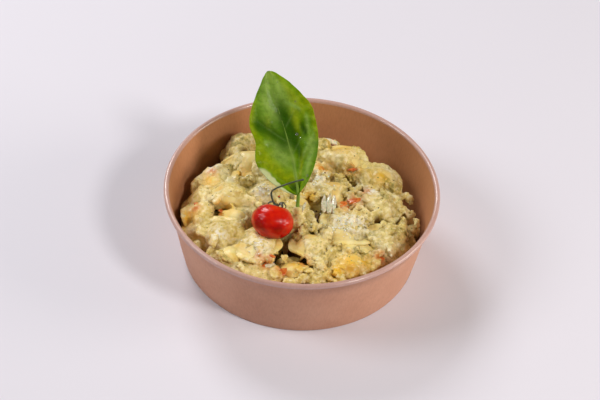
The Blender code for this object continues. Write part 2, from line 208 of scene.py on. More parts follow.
def kraft_finish(name, dark, middle, light, **shader_inputs):
    """Kraft card: short wood fibres, a few millimetres long, in a faintly cloudy sheet."""
    made, tree, shader, where = new_material(name, **shader_inputs)
    cloud = add_node(tree, "ShaderNodeTexNoise", {"Vector": where, "Scale": 1000 / 18, "Detail": 3.0})
    stretch = add_node(tree, "ShaderNodeMapping", {"Vector": where, "Scale": (1000 / 0.9, 1000 / 0.9, 1000 / 3.5)})
    fibre = add_node(tree, "ShaderNodeTexNoise", {"Vector": stretch.outputs["Vector"], "Scale": 1.0, "Detail": 4.0})
    brown = add_node(tree, "ShaderNodeValToRGB", {"Fac": cloud.outputs["Fac"]},
                     stops=[(0.3, middle), (0.7, light)])
    grain = add_node(tree, "ShaderNodeValToRGB", {"Fac": fibre.outputs["Fac"]},
                     stops=[(0.3, dark), (0.5, middle), (0.75, light)])
    card = add_node(tree, "ShaderNodeMix", {"Factor": 0.35, "A": brown.outputs["Color"], "B": grain.outputs["Color"]},
                    data_type="RGBA")
    tree.links.new(card.outputs["Result"], shader.inputs["Base Color"])
    tooth = add_node(tree, "ShaderNodeBump", {"Height": fibre.outputs["Fac"], "Strength": 0.1, "Distance": 0.0002})
    tree.links.new(tooth.outputs["Normal"], shader.inputs["Normal"])
    return made


# Outside the card is bare and a little mauve, its tone lifted a little as painted warm bounce light; inside its film
# lining makes it browner.
kraft = kraft_finish("kraft_card", "#ad8068", "#c48f74", "#d09d82", Roughness=0.6, Specular_IOR_Level=0.35)
lined_kraft = kraft_finish("film_lined_kraft", "#a26e48", "#b97e57", "#c48a64", Roughness=0.5, Coat_Weight=0.15,
                           Coat_Roughness=0.35)
# The rolled rim shows its glossy film face; its greyer mauve is partly a painted reflection of the pale surroundings.
rolled_kraft = kraft_finish("rolled_rim_kraft", "#a98378", "#bb9389", "#c9a297", Roughness=0.35, Coat_Weight=0.5,
                            Coat_Roughness=0.12)

profile = []
for step in range(25):
    angle = math.radians(180 - 270 * step / 24)
    profile.append((RIM_RADIUS - BEAD_RADIUS + BEAD_RADIUS * math.cos(angle),
                    BEAD_HEIGHT + BEAD_RADIUS * math.sin(angle)))
profile.append((wall_inner_radius(BEAD_HEIGHT - 1.3 * MM) + CARD, BEAD_HEIGHT - 1.3 * MM))
for share in (0.75, 0.5, 0.25):
    height = 0.6 * MM + share * (BEAD_HEIGHT - 2 * MM)
    profile.append((wall_inner_radius(height) + CARD, height))
profile.append((FOOT_RADIUS - 0.1 * MM, 0.8 * MM))
profile.append((FOOT_RADIUS - 0.4 * MM, 0.2 * MM))
profile.append((FOOT_RADIUS - 0.9 * MM, 0.0))
fold = wall_inner_radius(0.0) - CARD - 0.6 * MM
profile.extend([(fold - CARD + 0.5 * MM, 0.0), (fold - CARD, 0.5 * MM), (fold - CARD + 0.4 * MM, 4.2 * MM),
                (fold + 0.4 * MM, 4.2 * MM), (fold, CARD), (wall_inner_radius(CARD), CARD)])
for share in (0.25, 0.5, 0.75):
    height = share * BEAD_HEIGHT
    profile.append((wall_inner_radius(height), height))
bowl_side = turned("kraft_bowl_side", profile, 240, kraft, lap=0.35 * MM)
bowl_side.data.materials.append(lined_kraft)
bowl_side.data.materials.append(rolled_kraft)
for face in bowl_side.data.polygons:
    inward = face.normal.x * face.center.x + face.normal.y * face.center.y < 0
    if face.center.z > BEAD_HEIGHT - 1.2 * MM:
        face.material_index = 2
    elif inward and face.center.z > CARD:
        face.material_index = 1
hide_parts("bowl_wall")
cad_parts["bowl_floor"].data.materials.clear()
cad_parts["bowl_floor"].data.materials.append(kraft)

# ---------------------------------------------------------------- stuffed pasta
# Fresh egg pasta folded or pressed over a filling: half moons, hats with their ends drawn
# together, and square pillows. Each has a soft belly and a thin pressed brim with a fluted cut.

MOUND_RADIUS = 64.0 * MM
MOUND_TOP = 36.5 * MM
MOUND_EDGE_BACK = 11.0 * MM
MOUND_EDGE_FRONT = 31.0 * MM
PASTA_WIDTH = 31.0 * MM
PASTA_DEPTH = 22.0 * MM
PASTA_BELLY = 11.5 * MM
PASTA_BRIM = 2.2 * MM
PASTA_WRAP = math.radians(130)
MOON_WRAP = math.radians(40)
EDGE_PIECES = 13
EDGE_RADIUS = 56.0 * MM
EDGE_SINK = 4.0 * MM
FLUTE_PITCH = 2.6 * MM
BRIM_WAVE = 0.8 * MM
BRIM_LIFT = 1.2 * MM

# Where a piece's middle lies in mm, which way its width points in degrees from +X, how far its
# brim is lifted in degrees, its size against the common one, and how far it stands out in mm.
Pasta = namedtuple("Pasta", "x y heading lift size proud shape")
PASTA = [
    Pasta(-23, -37, 48, -10, 0.88, 3.5, "pillow"),
    Pasta(-53, -9, 80, 10, 0.80, 1.0, "hat"),
    Pasta(-44, -29, -52, 8, 0.95, 1.0, "moon"),
    Pasta(-49, 21, 205, -10, 0.95, 3.0, "moon"),
    Pasta(-39, 1, -6, 6, 1.05, 1.5, "moon"),
    Pasta(-35, -14, -40, 0, 0.85, 0.0, "hat"),
    Pasta(-20, 3, -14, 8, 0.90, 1.0, "moon"),
    Pasta(-32, 33, 184, -12, 0.95, 3.5, "moon"),
    Pasta(-32, 47, 40, 12, 0.98, 8.0, "hat"),
    Pasta(-37, 41, 120, 0, 0.80, 3.0, "moon"),
    Pasta(-28, 15, 30, 0, 0.80, -1.0, "pillow"),
    Pasta(-2, -52, 15, -16, 0.88, 0.0, "hat"),
    Pasta(-22, -54, -25, -5, 0.80, 0.0, "pillow"),
    Pasta(20, 32, -37, 10, 1.00, 5.0, "moon"),
    Pasta(2, 44, 10, 0, 0.95, 3.5, "moon"),
    Pasta(14, 9, 196, -14, 0.95, 2.0, "moon"),
    Pasta(31, 2, 40, 0, 0.70, 1.0, "hat"),
    Pasta(43, -1, -30, 5, 0.80, 2.0, "moon"),
    Pasta(44, 23, 8, 10, 0.88, 4.5, "pillow"),
    Pasta(51, 9, 100, 0, 0.80, 2.0, "hat"),
    Pasta(24, -20.5, 8, 4, 0.96, 3.5, "pillow"),
    Pasta(7, -32, 160, 8, 0.84, 2.5, "moon"),
    Pasta(28, -47, 12, 5, 0.90, 2.0, "moon"),
    Pasta(44, -28, -42, 10, 0.95, 1.5, "moon"),
    Pasta(54, -15, 75, 0, 0.70, 1.5, "hat"),
    Pasta(4, 24, -20, 5, 0.90, 0.5, "moon"),
    Pasta(-4, -13, 20, 6, 0.80, 3.0, "pillow"),
]


def fullness(x, y):
    """How full the bowl is towards its wall, from 0 at the back and right to 1 at the front."""
    reach = math.hypot(x, y)
    return max(0.0, min(1.0, 0.45 - (y + 0.2 * x) / reach)) if reach > 0 else 0.0


for step in range(EDGE_PIECES):
    angle = 2 * math.pi * step / EDGE_PIECES + 0.12
    x = EDGE_RADIUS / MM * math.cos(angle)
    y = EDGE_RADIUS / MM * math.sin(angle)
    sunk = EDGE_SINK / MM * max(0.0, 1.0 - 2 * fullness(x, y))
    PASTA.append(Pasta(
        x, y, math.degrees(angle) - 90 + 25 * math.sin(5 * angle), 12 * math.cos(3 * angle),
        0.85, -0.5 + math.sin(7 * angle) - sunk, ("moon", "hat", "pillow")[step % 3]))


def mound_height(x, y):
    """The heap's mean surface: flat on top, and falling at its edge to where it meets the wall."""
    edge = MOUND_EDGE_BACK + (MOUND_EDGE_FRONT - MOUND_EDGE_BACK) * fullness(x, y)
    share = min(math.hypot(x, y) / MOUND_RADIUS, 1.0)
    return edge + (MOUND_TOP - edge) * math.sqrt(1.0 - share ** 4)


def mound_normal(x, y):
    step = 2.0 * MM
    slope_x = (mound_height(x + step, y) - mound_height(x - step, y)) / (2 * step)
    slope_y = (mound_height(x, y + step) - mound_height(x, y - step)) / (2 * step)
    slope_x = max(-1.1, min(1.1, slope_x))
    slope_y = max(-1.1, min(1.1, slope_y))
    return Vector((-slope_x, -slope_y, 1.0)).normalized()


def pasta_matrix(piece):
    place = Vector((piece.x, piece.y, 0.0)) * MM
    normal = mound_normal(place.x, place.y)
    place.z = mound_height(place.x, place.y)
    place += normal * (piece.proud * MM - 0.35 * PASTA_BELLY)
    settle = Vector((0.0, 0.0, 1.0)).rotation_difference(normal).to_matrix().to_4x4()
    return (Matrix.Translation(place) @ settle @ Matrix.Rotation(math.radians(piece.heading), 4, "Z")
            @ Matrix.Rotation(math.radians(piece.lift), 4, "X") @ Matrix.Scale(piece.size, 4))


def pasta_mesh(piece, around, rings, fat=0.0):
    """Vertices and faces of one piece, made fat all over by that much for the sauce on it."""
    angles = np.linspace(0.0, 2 * math.pi, around, endpoint=False)
    across = np.cos(angles)
    along = np.sin(angles)
    if piece.shape == "pillow":
        round_off = (np.abs(across) ** 5 + np.abs(along) ** 5) ** -0.2
        half_width = 0.47 * PASTA_WIDTH * round_off * across
        half_depth = 0.62 * PASTA_DEPTH * round_off * along
        brim = np.ones(around)
    else:
        half_width = 0.5 * PASTA_WIDTH * across
        half_depth = np.where(along > 0, 0.75, 0.25) * PASTA_DEPTH * along
        brim = np.clip(0.5 + 2.0 * along, 0.0, 1.0)
    flutes = round(2 * math.pi * 0.45 * PASTA_WIDTH / FLUTE_PITCH)
    saw = 2 * np.abs((angles * flutes / (2 * math.pi)) % 1.0 - 0.5)
    rows = []
    for ring in range(1, 2 * rings):
        turn = math.pi * ring / (2 * rings)
        reach = math.sin(turn)
        up = math.cos(turn)
        edge = max(0.0, (reach - 0.8) / 0.2)
        x = half_width * reach * (1.0 - 0.045 * brim * saw * edge ** 4)
        y = half_depth * reach * (1.0 - 0.045 * brim * saw * edge ** 4)
        pressed = np.maximum(0.0, 1.0 - (0.8 + 1.5 * brim) * reach ** 2) ** 0.8
        thick = fat * (1.0 - 0.8 * brim * max(0.0, min(1.0, (reach - 0.6) / 0.25)))
        z = 0.5 * (PASTA_BRIM + (PASTA_BELLY - PASTA_BRIM) * pressed) + thick
        z *= math.copysign(min(1.0, 3.0 * abs(up)), up)
        z += BRIM_WAVE * brim * max(0.0, reach - 0.5) ** 2 * 4 * np.sin(5 * angles + piece.x)
        z += BRIM_LIFT * brim * max(0.0, reach - 0.6) / 0.4 * np.sin(2 * angles + piece.y)
        grow = 1.0 + fat / (0.45 * PASTA_WIDTH) * edge * (1.0 - brim)
        rows.append(np.stack([x * grow, y * grow, z], -1))
    top = 0.5 * PASTA_BELLY + fat
    points = np.concatenate([np.array([[0, 0, top]]), np.concatenate(rows), np.array([[0, 0, -top]])])
    wrap = {"hat": PASTA_WRAP, "moon": MOON_WRAP, "pillow": 0.15}[piece.shape]
    bend = PASTA_WIDTH / wrap
    x, y, z = points.T
    points = np.stack([(bend + z) * np.sin(x / bend), y, (bend + z) * np.cos(x / bend) - bend], -1)
    matrix = np.array(pasta_matrix(piece))
    points = points @ matrix[:3, :3].T + matrix[:3, 3]
    lumps = np.array([noise.noise_vector(Vector(point) / (9 * MM)) for point in points])
    points = points + 0.9 * MM * lumps
    count = 2 * rings - 1
    faces = [(0, 1 + step, 1 + (step + 1) % around) for step in range(around)]
    for ring in range(count - 1):
        for step in range(around):
            a = 1 + ring * around + step
            b = 1 + ring * around + (step + 1) % around
            faces.append((a, a + around, b + around, b))
    last = 1 + (count - 1) * around
    faces.extend((last + (step + 1) % around, last + step, last + around) for step in range(around))
    return points, faces


def joined(parts):
    """Several (vertices, faces) sets as one."""
    vertices = []
    faces = []
    start = 0
    for points, polygons in parts:
        vertices.append(np.asarray(points))
        faces.extend(tuple(corner + start for corner in polygon) for polygon in polygons)
        start += len(points)
    return np.concatenate(vertices), faces


def inside_bowl(points, gap=0.4 * MM):
    """Draws points in from the card, and up from the floor."""
    points = np.array(points)
    points[:, 2] = np.maximum(points[:, 2], FLOOR_TOP + gap)
    radius = np.hypot(points[:, 0], points[:, 1])
    wall = FOOT_RADIUS - CARD - gap + (points[:, 2] / BEAD_HEIGHT) * (wall_inner_radius(BEAD_HEIGHT) - wall_inner_radius(0))
    share = np.minimum(1.0, wall / np.maximum(radius, 1e-6))
    points[:, 0] *= share
    points[:, 1] *= share
    return points


def patches(points, spots, power=4):
    """How far each point lies within the round spots (x, y, radius in mm), from 0 to 1."""
    share = np.zeros(len(points))
    for x, y, radius in spots:
        away = np.hypot(points[:, 0] / MM - x, points[:, 1] / MM - y) / radius
        share = np.maximum(share, np.exp(-away ** power))
    return share


# Where the dough is yellowest, as (x, y, radius in mm).
YOLKY = ((-62, -13, 6), (-41, -8, 5), (20, 39, 6), (43, 21, 5), (21, -53, 5), (28, -47, 7), (35, -45, 5),
         (-1, -50, 6), (11, 25, 4), (-34, 20, 4), (-50, 14, 4), (5, 1, 4), (27, 23, 5))

egg_pasta, tree, shader, where = new_material(
    "egg_pasta", Roughness=0.45, Coat_Weight=0.15, Coat_Roughness=0.12, Subsurface_Weight=0.25,
    Subsurface_Scale=0.004, IOR=1.45)
shader.inputs["Subsurface Radius"].default_value = (1.0, 0.7, 0.35)
# Boiled egg dough: smooth, slightly see-through, deeper yellow where the filling shows.
depth = add_node(tree, "ShaderNodeTexNoise", {"Vector": where, "Scale": 1000 / 9, "Detail": 3.0})
yolk = add_node(tree, "ShaderNodeValToRGB", {"Fac": depth.outputs["Fac"]},
                stops=[(0.32, "#dfb252"), (0.44, "#e9c86c"), (0.58, "#f1d888"), (0.72, "#f6e4a8")])
smear = add_node(tree, "ShaderNodeTexNoise", {"Vector": where, "Scale": 1000 / 3.2, "Detail": 6.0})
smeared = add_node(tree, "ShaderNodeMapRange", {"Value": smear.outputs["Fac"], "From Min": 0.35, "From Max": 0.75, "To Max": 0.6})
fresh = add_node(tree, "ShaderNodeAttribute", attribute_name="yolky")
uneven = add_node(tree, "ShaderNodeMapRange", {"Value": smear.outputs["Fac"], "From Min": 0.35, "From Max": 0.6})
ripe = add_node(tree, "ShaderNodeMath", {0: fresh.outputs["Fac"], 1: uneven.outputs["Result"]}, operation="MULTIPLY")
bright = add_node(tree, "ShaderNodeMix", {"Factor": ripe.outputs["Value"], "A": yolk.outputs["Color"],
                                          "B": linear("#f2b81c")}, data_type="RGBA")
clean = add_node(tree, "ShaderNodeMapRange", {"Value": fresh.outputs["Fac"], "To Min": 1.0, "To Max": 0.25})
coating = add_node(tree, "ShaderNodeMath", {0: smeared.outputs["Result"], 1: clean.outputs["Result"]}, operation="MULTIPLY")
coated = add_node(tree, "ShaderNodeMix", {"Factor": coating.outputs["Value"], "A": bright.outputs["Result"],
                                          "B": linear("#f2dfa2")}, data_type="RGBA")
tree.links.new(coated.outputs["Result"], shader.inputs["Base Color"])
skin = add_node(tree, "ShaderNodeBump", {"Height": smear.outputs["Fac"], "Strength": 0.8, "Distance": 0.0009})
tree.links.new(skin.outputs["Normal"], shader.inputs["Normal"])

vertices, faces = joined([pasta_mesh(piece, 64, 13) for piece in PASTA])
tortellini = mesh_object("tortellini", inside_bowl(vertices), faces, egg_pasta)
yolky = tortellini.data.attributes.new("yolky", "FLOAT", "POINT")
yolky.data.foreach_set("value", patches(vertices, YOLKY, 2).astype(np.float32))

# ---------------------------------------------------------------- pesto cream
# Thick cream, ground herbs and cheese, stirred through the pasta: it coats the pieces unevenly,
# pools between them and leaves bare dough in patches. It is lumpy from 1 to 5 mm.

SAUCE_VOXEL = 0.6 * MM
SAUCE_TRIANGLES = 190000
CORE_SINK = 11.0 * MM

# Deep gaps left between pieces (x, y, radius and depth in mm), and (x, y, radius in mm) of the
# patches that are bare dough, thick with herbs and oil, and white with grated cheese.
HOLLOWS = ((-6, -37, 5.5, 13), (-2, -40, 4.5, 11), (27, -33, 4, 10), (35.5, -33, 4, 10), (21, -30, 3.5, 6), (20, 4, 3, 4), (2, -4, 3, 4), (8, -8, 3.5, 5), (43.5, -12, 3.5, 8),
           (-30, 37, 4.5, 7), (-32, 23, 4, 4), (-34, -15, 3, 4), (-34, -42, 5, 6), (-26, -44, 3, 4),
           (11, -14, 4, 5), (6, -30, 3, 4), (38, -18, 3.5, 5), (52, -6, 3, 4), (-46, 34, 6, 8), (-46, 6, 3, 3))
BARE = ((-62, -12, 5), (-39, -7, 5), (-38, -14, 4), (20, 44, 6), (31, 30, 4), (49, 26, 5), (17, 13, 5), (11, -3, 3),
        (29, -47, 6), (-1, -51, 4), (-34, -38, 3), (-36, 20, 4), (-50, 14, 3), (-19, -33, 3))
HERBY = ((11, 43, 8), (-31, 13, 6), (55, -16, 8), (28, -33, 7), (33, -38, 6), (-35, 46, 8), (49, 17, 6), (-38, -46, 6), (7, -8, 6),
         (37, -24, 6), (43, -14, 6), (-31, -14, 5), (26, 20, 8), (4, -26, 5), (38, -32, 5), (12, -16, 5), (-20, 22, 6), (44, 4, 5))
RUDDY = ((-8, -54, 4.5), (43, -40, 4), (27, 23, 4), (23, -5, 4.5), (29, 1, 4.5), (-17, -50, 4), (-43, -9, 3),
         (-57, -9, 3), (11, 25, 4), (-21, -47, 3), (-50, 20, 3), (3, -47, 3), (35, 8, 3))
CHEESY = ((25, -21, 9), (33, -19, 7), (-21, 2, 5), (8, 14, 5), (-22, -40, 6), (38, 8, 4), (-44, -32, 5), (-50, 24, 4))

rng = random.Random(7)


def sphere_mesh(centre, radius, around=14, rings=5):
    points = [(0, 0, radius)]
    for ring in range(1, 2 * rings):
        turn = math.pi * ring / (2 * rings)
        for step in range(around):
            angle = 2 * math.pi * step / around
            points.append((radius * math.sin(turn) * math.cos(angle), radius * math.sin(turn) * math.sin(angle),
                           radius * math.cos(turn)))
    points.append((0, 0, -radius))
    faces = [(0, 1 + step, 1 + (step + 1) % around) for step in range(around)]
    for ring in range(2 * rings - 2):
        for step in range(around):
            a = 1 + ring * around + step
            b = 1 + ring * around + (step + 1) % around
            faces.append((a, a + around, b + around, b))
    last = 1 + (2 * rings - 2) * around
    faces.extend((last + (step + 1) % around, last + step, last + around) for step in range(around))
    return np.array(points) + np.array(centre), faces


def core_mesh():
    """The sauced pasta below the top layer, with dips under the hollows."""
    side = 61
    xs = np.linspace(-68 * MM, 68 * MM, side)
    top = []
    for y in xs:
        for x in xs:
            z = mound_height(x, y) - CORE_SINK
            for hx, hy, hr, depth in HOLLOWS:
                away = math.hypot(x / MM - hx, y / MM - hy) / hr
                z -= 1.2 * depth * MM * math.exp(-away * away)
            top.append((x, y, max(z, FLOOR_TOP + 1 * MM)))
    base = [(x, y, FLOOR_TOP) for x, y, z in top]
    faces = []
    total = side * side
    for row in range(side - 1):
        for column in range(side - 1):
            a = row * side + column
            faces.append((a, a + 1, a + side + 1, a + side))
            faces.append((total + a, total + a + side, total + a + side + 1, total + a + 1))
    ring = ([column for column in range(side)] + [row * side + side - 1 for row in range(1, side)]
            + [(side - 1) * side + column for column in range(side - 2, -1, -1)]
            + [row * side for row in range(side - 2, 0, -1)])
    for first, second in zip(ring, ring[1:] + ring[:1]):
        faces.append((first, total + first, total + second, second))
    return np.array(top + base), faces


def chip_mesh(place, normal, heading, length, width, thickness, tilt, bend):
    """A thin, curved, ragged-edged bit that lies on the heap, turned by heading and tilted up."""
    settle = Vector((0.0, 0.0, 1.0)).rotation_difference(normal).to_matrix().to_4x4()
    matrix = (Matrix.Translation(place) @ settle @ Matrix.Rotation(heading, 4, "Z") @ Matrix.Rotation(tilt, 4, "X"))
    points, faces = sphere_mesh((0.0, 0.0, 0.0), 1.0, 22, 6)
    shaped = []
    for x, y, z in points:
        spread = math.hypot(x, y)
        edge = Vector((x, y, 0.0))
        ragged = 1.0 + 0.4 * noise.noise(edge * 1.6 + place / (3 * MM)) + 0.2 * noise.noise(edge * 4 + place / MM)
        flat = math.copysign(min(1.0, 2.2 * abs(z)), z) * (1.0 - 0.25 * spread)
        shaped.append(matrix @ Vector((0.5 * length * x * ragged, 0.5 * width * y * ragged,
                                       0.5 * thickness * flat - bend * (0.5 * length * x) ** 2)))
    return np.array([list(point) for point in shaped]), faces


def smooth_share(value, low, high):
    """From 0 at low to 1 at high, easing in and out."""
    share = np.clip((value - low) / (high - low), 0.0, 1.0)
    return share * share * (3 - 2 * share)


def strewn(count, low, high, reach_share=0.96):
    """Random places on the heap's mean surface, raised or sunk by low to high."""
    for _ in range(count):
        angle = rng.uniform(0, 2 * math.pi)
        reach = MOUND_RADIUS * math.sqrt(rng.uniform(0, reach_share ** 2))
        x = reach * math.cos(angle)
        y = reach * math.sin(angle)
        normal = mound_normal(x, y)
        place = Vector((x, y, mound_height(x, y))) + normal * rng.uniform(low, high)
        if all(math.hypot(x / MM - hx, y / MM - hy) > 1.1 * hr for hx, hy, hr, depth in HOLLOWS):
            yield place, normal


lumps = [sphere_mesh(Vector(place) * MM, radius * MM) for place, radius in
         (((-1, -19, 37), 4.5), ((-1.2, -14.5, 41.5), 3.2), ((3, -13, 37.5), 3.5), ((-7, -15, 38), 4.0), ((-36, 38, 31), 6.0), ((10, 46, 34), 5.0),
          ((61, -3, 19), 4.0), ((58, -14, 21), 5.0), ((-1, -57, 25), 5.0), ((12, -49, 26), 4.5), ((5, -53, 26), 4.5),
          ((17, -5, 33), 6.0), ((15, -11, 34), 4.5), ((39, -9, 32), 5.0), ((33, 22, 33), 6.5),
          ((-12, -60, 25), 4.0), ((20, -58, 25), 4.5), ((-60, -18, 24), 4.0), ((-54, -30, 25), 4.0))]
for place, normal in strewn(40, -4 * MM, 0.5 * MM):
    lumps.append(sphere_mesh(place, rng.uniform(1.4, 3.0) * MM))
for place, normal in strewn(420, -1.5 * MM, 3.0 * MM):
    smooth_back = smooth_share(place.y, 16 * MM, 26 * MM)
    if rng.random() < 0.2 + 0.8 * smooth_share(place.x, -12 * MM, 10 * MM) * (1.0 - smooth_back):
        lumps.append(chip_mesh(place, normal, rng.uniform(0, 6.28), rng.uniform(4, 9) * MM, rng.uniform(3, 6) * MM,
                               rng.uniform(1.2, 2.2) * MM, rng.uniform(-0.9, 0.9), rng.uniform(-20, 40)))
# Pieces of artichoke heart, each a fan of torn leaves on edge.
for x, y, heading in ((11, 43, 20), (14, 37, 80), (-31, 12, 15), (55, -16, 60), (50, -20, 10), (30, -38, 40),
                      (25, -34, -30), (-38, -45, 10), (-40, 47, 60), (48, 15, 75), (6, -10, -15), (4, -25, 35),
                      (38, -23, 50), (-22, 20, 5), (38, 6, -40), (28, 22, 30)):
    place = Vector((x * MM, y * MM, mound_height(x * MM, y * MM)))
    normal = mound_normal(place.x, place.y)
    side = Vector((math.cos(math.radians(heading)), math.sin(math.radians(heading)), 0.0))
    for layer in range(-2, 3):
        lumps.append(chip_mesh(place + side * layer * 1.7 * MM + normal * rng.uniform(0.5, 2.5) * MM, normal,
                               math.radians(heading + 90) + rng.uniform(-0.4, 0.4), rng.uniform(6, 9) * MM,
                               rng.uniform(4, 6) * MM, 1.3 * MM, rng.uniform(0.5, 1.2), 30))

parts = [core_mesh()] + [pasta_mesh(piece, 40, 8, fat=0.3 * MM) for piece in PASTA] + lumps
vertices, faces = joined(parts)
vertices = inside_bowl(vertices, 0.8 * MM)
rough = bpy.data.meshes.new("rough")
rough.from_pydata(vertices.tolist(), [], faces)
body = bpy.data.objects.new("rough", rough)
scene.collection.objects.link(body)
merge = body.modifiers.new("merge", "REMESH")
merge.mode = "VOXEL"
merge.voxel_size = SAUCE_VOXEL
level = body.modifiers.new("level", "SMOOTH")
level.factor = 0.5
level.iterations = 2
thinned = body.modifiers.new("thinned", "DECIMATE")
thinned.ratio = 1.0
coarse = body.modifiers.new("coarse", "SMOOTH")
coarse.factor = 0.5
coarse.iterations = 40
coarse.show_viewport = False


# The free space left in the bowl starts at these heights: x, y to x, y, and z, all in mm.
FREE_SPACE = ((37.3, -37.7, 58.7, 37.7, 38.3), (58.5, -20.5, 64.7, 20.5, 28.5), (38.5, 36.5, 48.5, 45.5, 24.5),
              (-28.7, -63.7, 28.7, -53.3, 38.3), (-18.0, 59.3, 18.0, 64.7, 24.5),
              (-61.7, -32.7, -46.3, 32.7, 38.3))


def below_free_space(points):
    """Eases down what stands up into the free space over and beside the food."""
    points = np.array(points)
    x, y = points[:, 0] / MM, points[:, 1] / MM
    for low_x, low_y, high_x, high_y, level in FREE_SPACE:
        outside = np.maximum(np.maximum(low_x - x, x - high_x), np.maximum(low_y - y, y - high_y))
        share = np.clip(1.0 - outside / 1.5, 0.0, 1.0)
        over = np.maximum(0.0, points[:, 2] - (level - 0.9) * MM)
        points[:, 2] -= share * (over - 0.6 * MM * (1.0 - np.exp(-over / (0.6 * MM))))
    return points


def evaluated(made):
    bpy.context.view_layer.update()
    solved = made.evaluated_get(bpy.context.evaluated_depsgraph_get())
    return bpy.data.meshes.new_from_object(solved)


def coordinates(mesh):
    flat = np.zeros(len(mesh.vertices) * 3, np.float32)
    mesh.vertices.foreach_get("co", flat)
    return flat.reshape(-1, 3).astype(float)


sauce_mesh = evaluated(body)
thinned.ratio = min(1.0, SAUCE_TRIANGLES / (2 * len(sauce_mesh.polygons)))
sauce_mesh = evaluated(body)
coarse.show_viewport = True
levelled = coordinates(evaluated(body))
bpy.data.objects.remove(body, do_unlink=True)
points = coordinates(sauce_mesh)
normals = np.zeros(len(points) * 3, np.float32)
sauce_mesh.vertices.foreach_get("normal", normals)
normals = normals.reshape(-1, 3)
hollow = np.clip(((levelled - points) * normals).sum(1) / (1.6 * MM), -1, 1)

bare = patches(points, BARE)
herby = patches(points, HERBY, 2)
cheesy = patches(points, CHEESY, 2)
press = np.zeros(len(points))
for hx, hy, hr, depth in HOLLOWS:
    away = np.hypot(points[:, 0] / MM - hx, points[:, 1] / MM - hy) / hr
    press = np.maximum(press, depth * MM * np.exp(-away ** 4))
wide = np.array([noise.noise(Vector(point) / (11 * MM)) for point in points])
clots = np.array([noise.fractal(Vector(point) / (2.6 * MM), 0.8, 2.1, 3) for point in points])
creased = 0.25 - np.abs([noise.noise(Vector(point) / (3.6 * MM)) for point in points])
rough = 0.6 + 0.85 * smooth_share(points[:, 0], -15 * MM, 10 * MM)
rough -= 0.8 * smooth_share(points[:, 0], -5 * MM, 8 * MM) * smooth_share(points[:, 1], 16 * MM, 28 * MM)
thin = np.clip(bare * (0.9 + 0.9 * clots) + np.clip((wide - 0.3) * 4.0, 0, 1) * 0.6, 0, 1)
thin *= 1.0 - 0.8 * smooth_share(np.hypot(points[:, 0], points[:, 1]), 50 * MM, 58 * MM)
offset = 0.35 * MM + rough * (0.95 * MM * clots + 1.1 * MM * creased) * (1.0 - 0.6 * thin)
offset += 0.5 * MM * np.clip(hollow, 0, 1) - 1.6 * MM * thin + 0.35 * MM * clots * herby
offset += (0.5 * MM + 0.7 * MM * clots) * cheesy
points = points + normals * offset[:, None]
points[:, 2] -= press * np.clip(points[:, 2] / (20 * MM) - 0.4, 0, 1)
points = below_free_space(inside_bowl(points))
sauce_mesh.vertices.foreach_set("co", points.astype(np.float32).ravel())
sauce_mesh.update()
sauce_mesh.shade_smooth()
# How hollow each spot is, deepened in the pressed gaps, is kept for the cream's painted shade and painted highlight.
hollow = np.maximum(hollow, np.clip(press / (5 * MM), 0, 1))
stains = np.stack([patches(points, YOLKY, 2), patches(points, RUDDY, 2), np.zeros(len(points))], -1)
tints = sauce_mesh.attributes.new("tints", "FLOAT_VECTOR", "POINT")
tints.data.foreach_set("vector", stains.astype(np.float32).ravel())
marks = sauce_mesh.attributes.new("marks", "FLOAT_VECTOR", "POINT")
marks.data.foreach_set("vector", np.stack([hollow, herby, cheesy], -1).astype(np.float32).ravel())

cream, tree, shader, where = new_material(
    "pesto_cream", Roughness=0.5, Coat_Weight=0.15, Coat_Roughness=0.2, Subsurface_Weight=0.2,
    Subsurface_Scale=0.003, IOR=1.42)
shader.inputs["Subsurface Radius"].default_value = (1.0, 0.8, 0.45)
# Cream thickened with cheese: pale ochre, greener and darker where herbs and oil gather, with painted shade in its
# hollows and a painted highlight on its peaks.
broad = add_node(tree, "ShaderNodeTexNoise", {"Vector": where, "Scale": 1000 / 14, "Detail": 4.0})
pale = add_node(tree, "ShaderNodeValToRGB", {"Fac": broad.outputs["Fac"]},
                stops=[(0.3, "#c8aa4c"), (0.42, "#e4cb78"), (0.56, "#f2de98"), (0.72, "#faefc6")])
fine = add_node(tree, "ShaderNodeTexNoise", {"Vector": where, "Scale": 1000 / 2.2, "Detail": 3.0})
mottle = add_node(tree, "ShaderNodeValToRGB", {"Fac": fine.outputs["Fac"]},
                  stops=[(0.36, "#a58a26"), (0.5, "#e6cc7e"), (0.64, "#fcf3d6")])
body_colour = add_node(tree, "ShaderNodeMix", {"Factor": 0.4, "A": pale.outputs["Color"], "B": mottle.outputs["Color"]},
                       data_type="RGBA")
marks = add_node(tree, "ShaderNodeAttribute", attribute_name="marks")
mark = add_node(tree, "ShaderNodeSeparateXYZ", {"Vector": marks.outputs["Vector"]})
# Herbs and oil darken it in clots and cheese whitens it in crumbs; painted highlight pales the peaks, and painted shade
# turns the hollows golden, then dark brown.
clotted = add_node(tree, "ShaderNodeTexNoise", {"Vector": where, "Scale": 1000 / 3.2, "Detail": 4.0})
herb_edge = add_node(tree, "ShaderNodeMapRange", {"Value": clotted.outputs["Fac"], "From Min": 0.42, "From Max": 0.62})
herb_share = add_node(tree, "ShaderNodeMath", {0: mark.outputs["Y"], 1: herb_edge.outputs["Result"]},
                      operation="MULTIPLY")
tints = add_node(tree, "ShaderNodeAttribute", attribute_name="tints")
tint = add_node(tree, "ShaderNodeSeparateXYZ", {"Vector": tints.outputs["Vector"]})
patchy = add_node(tree, "ShaderNodeMapRange", {"Value": clotted.outputs["Fac"], "From Min": 0.32, "From Max": 0.5})
yolk_share = add_node(tree, "ShaderNodeMath", {0: tint.outputs["X"], 1: patchy.outputs["Result"]}, operation="MULTIPLY")
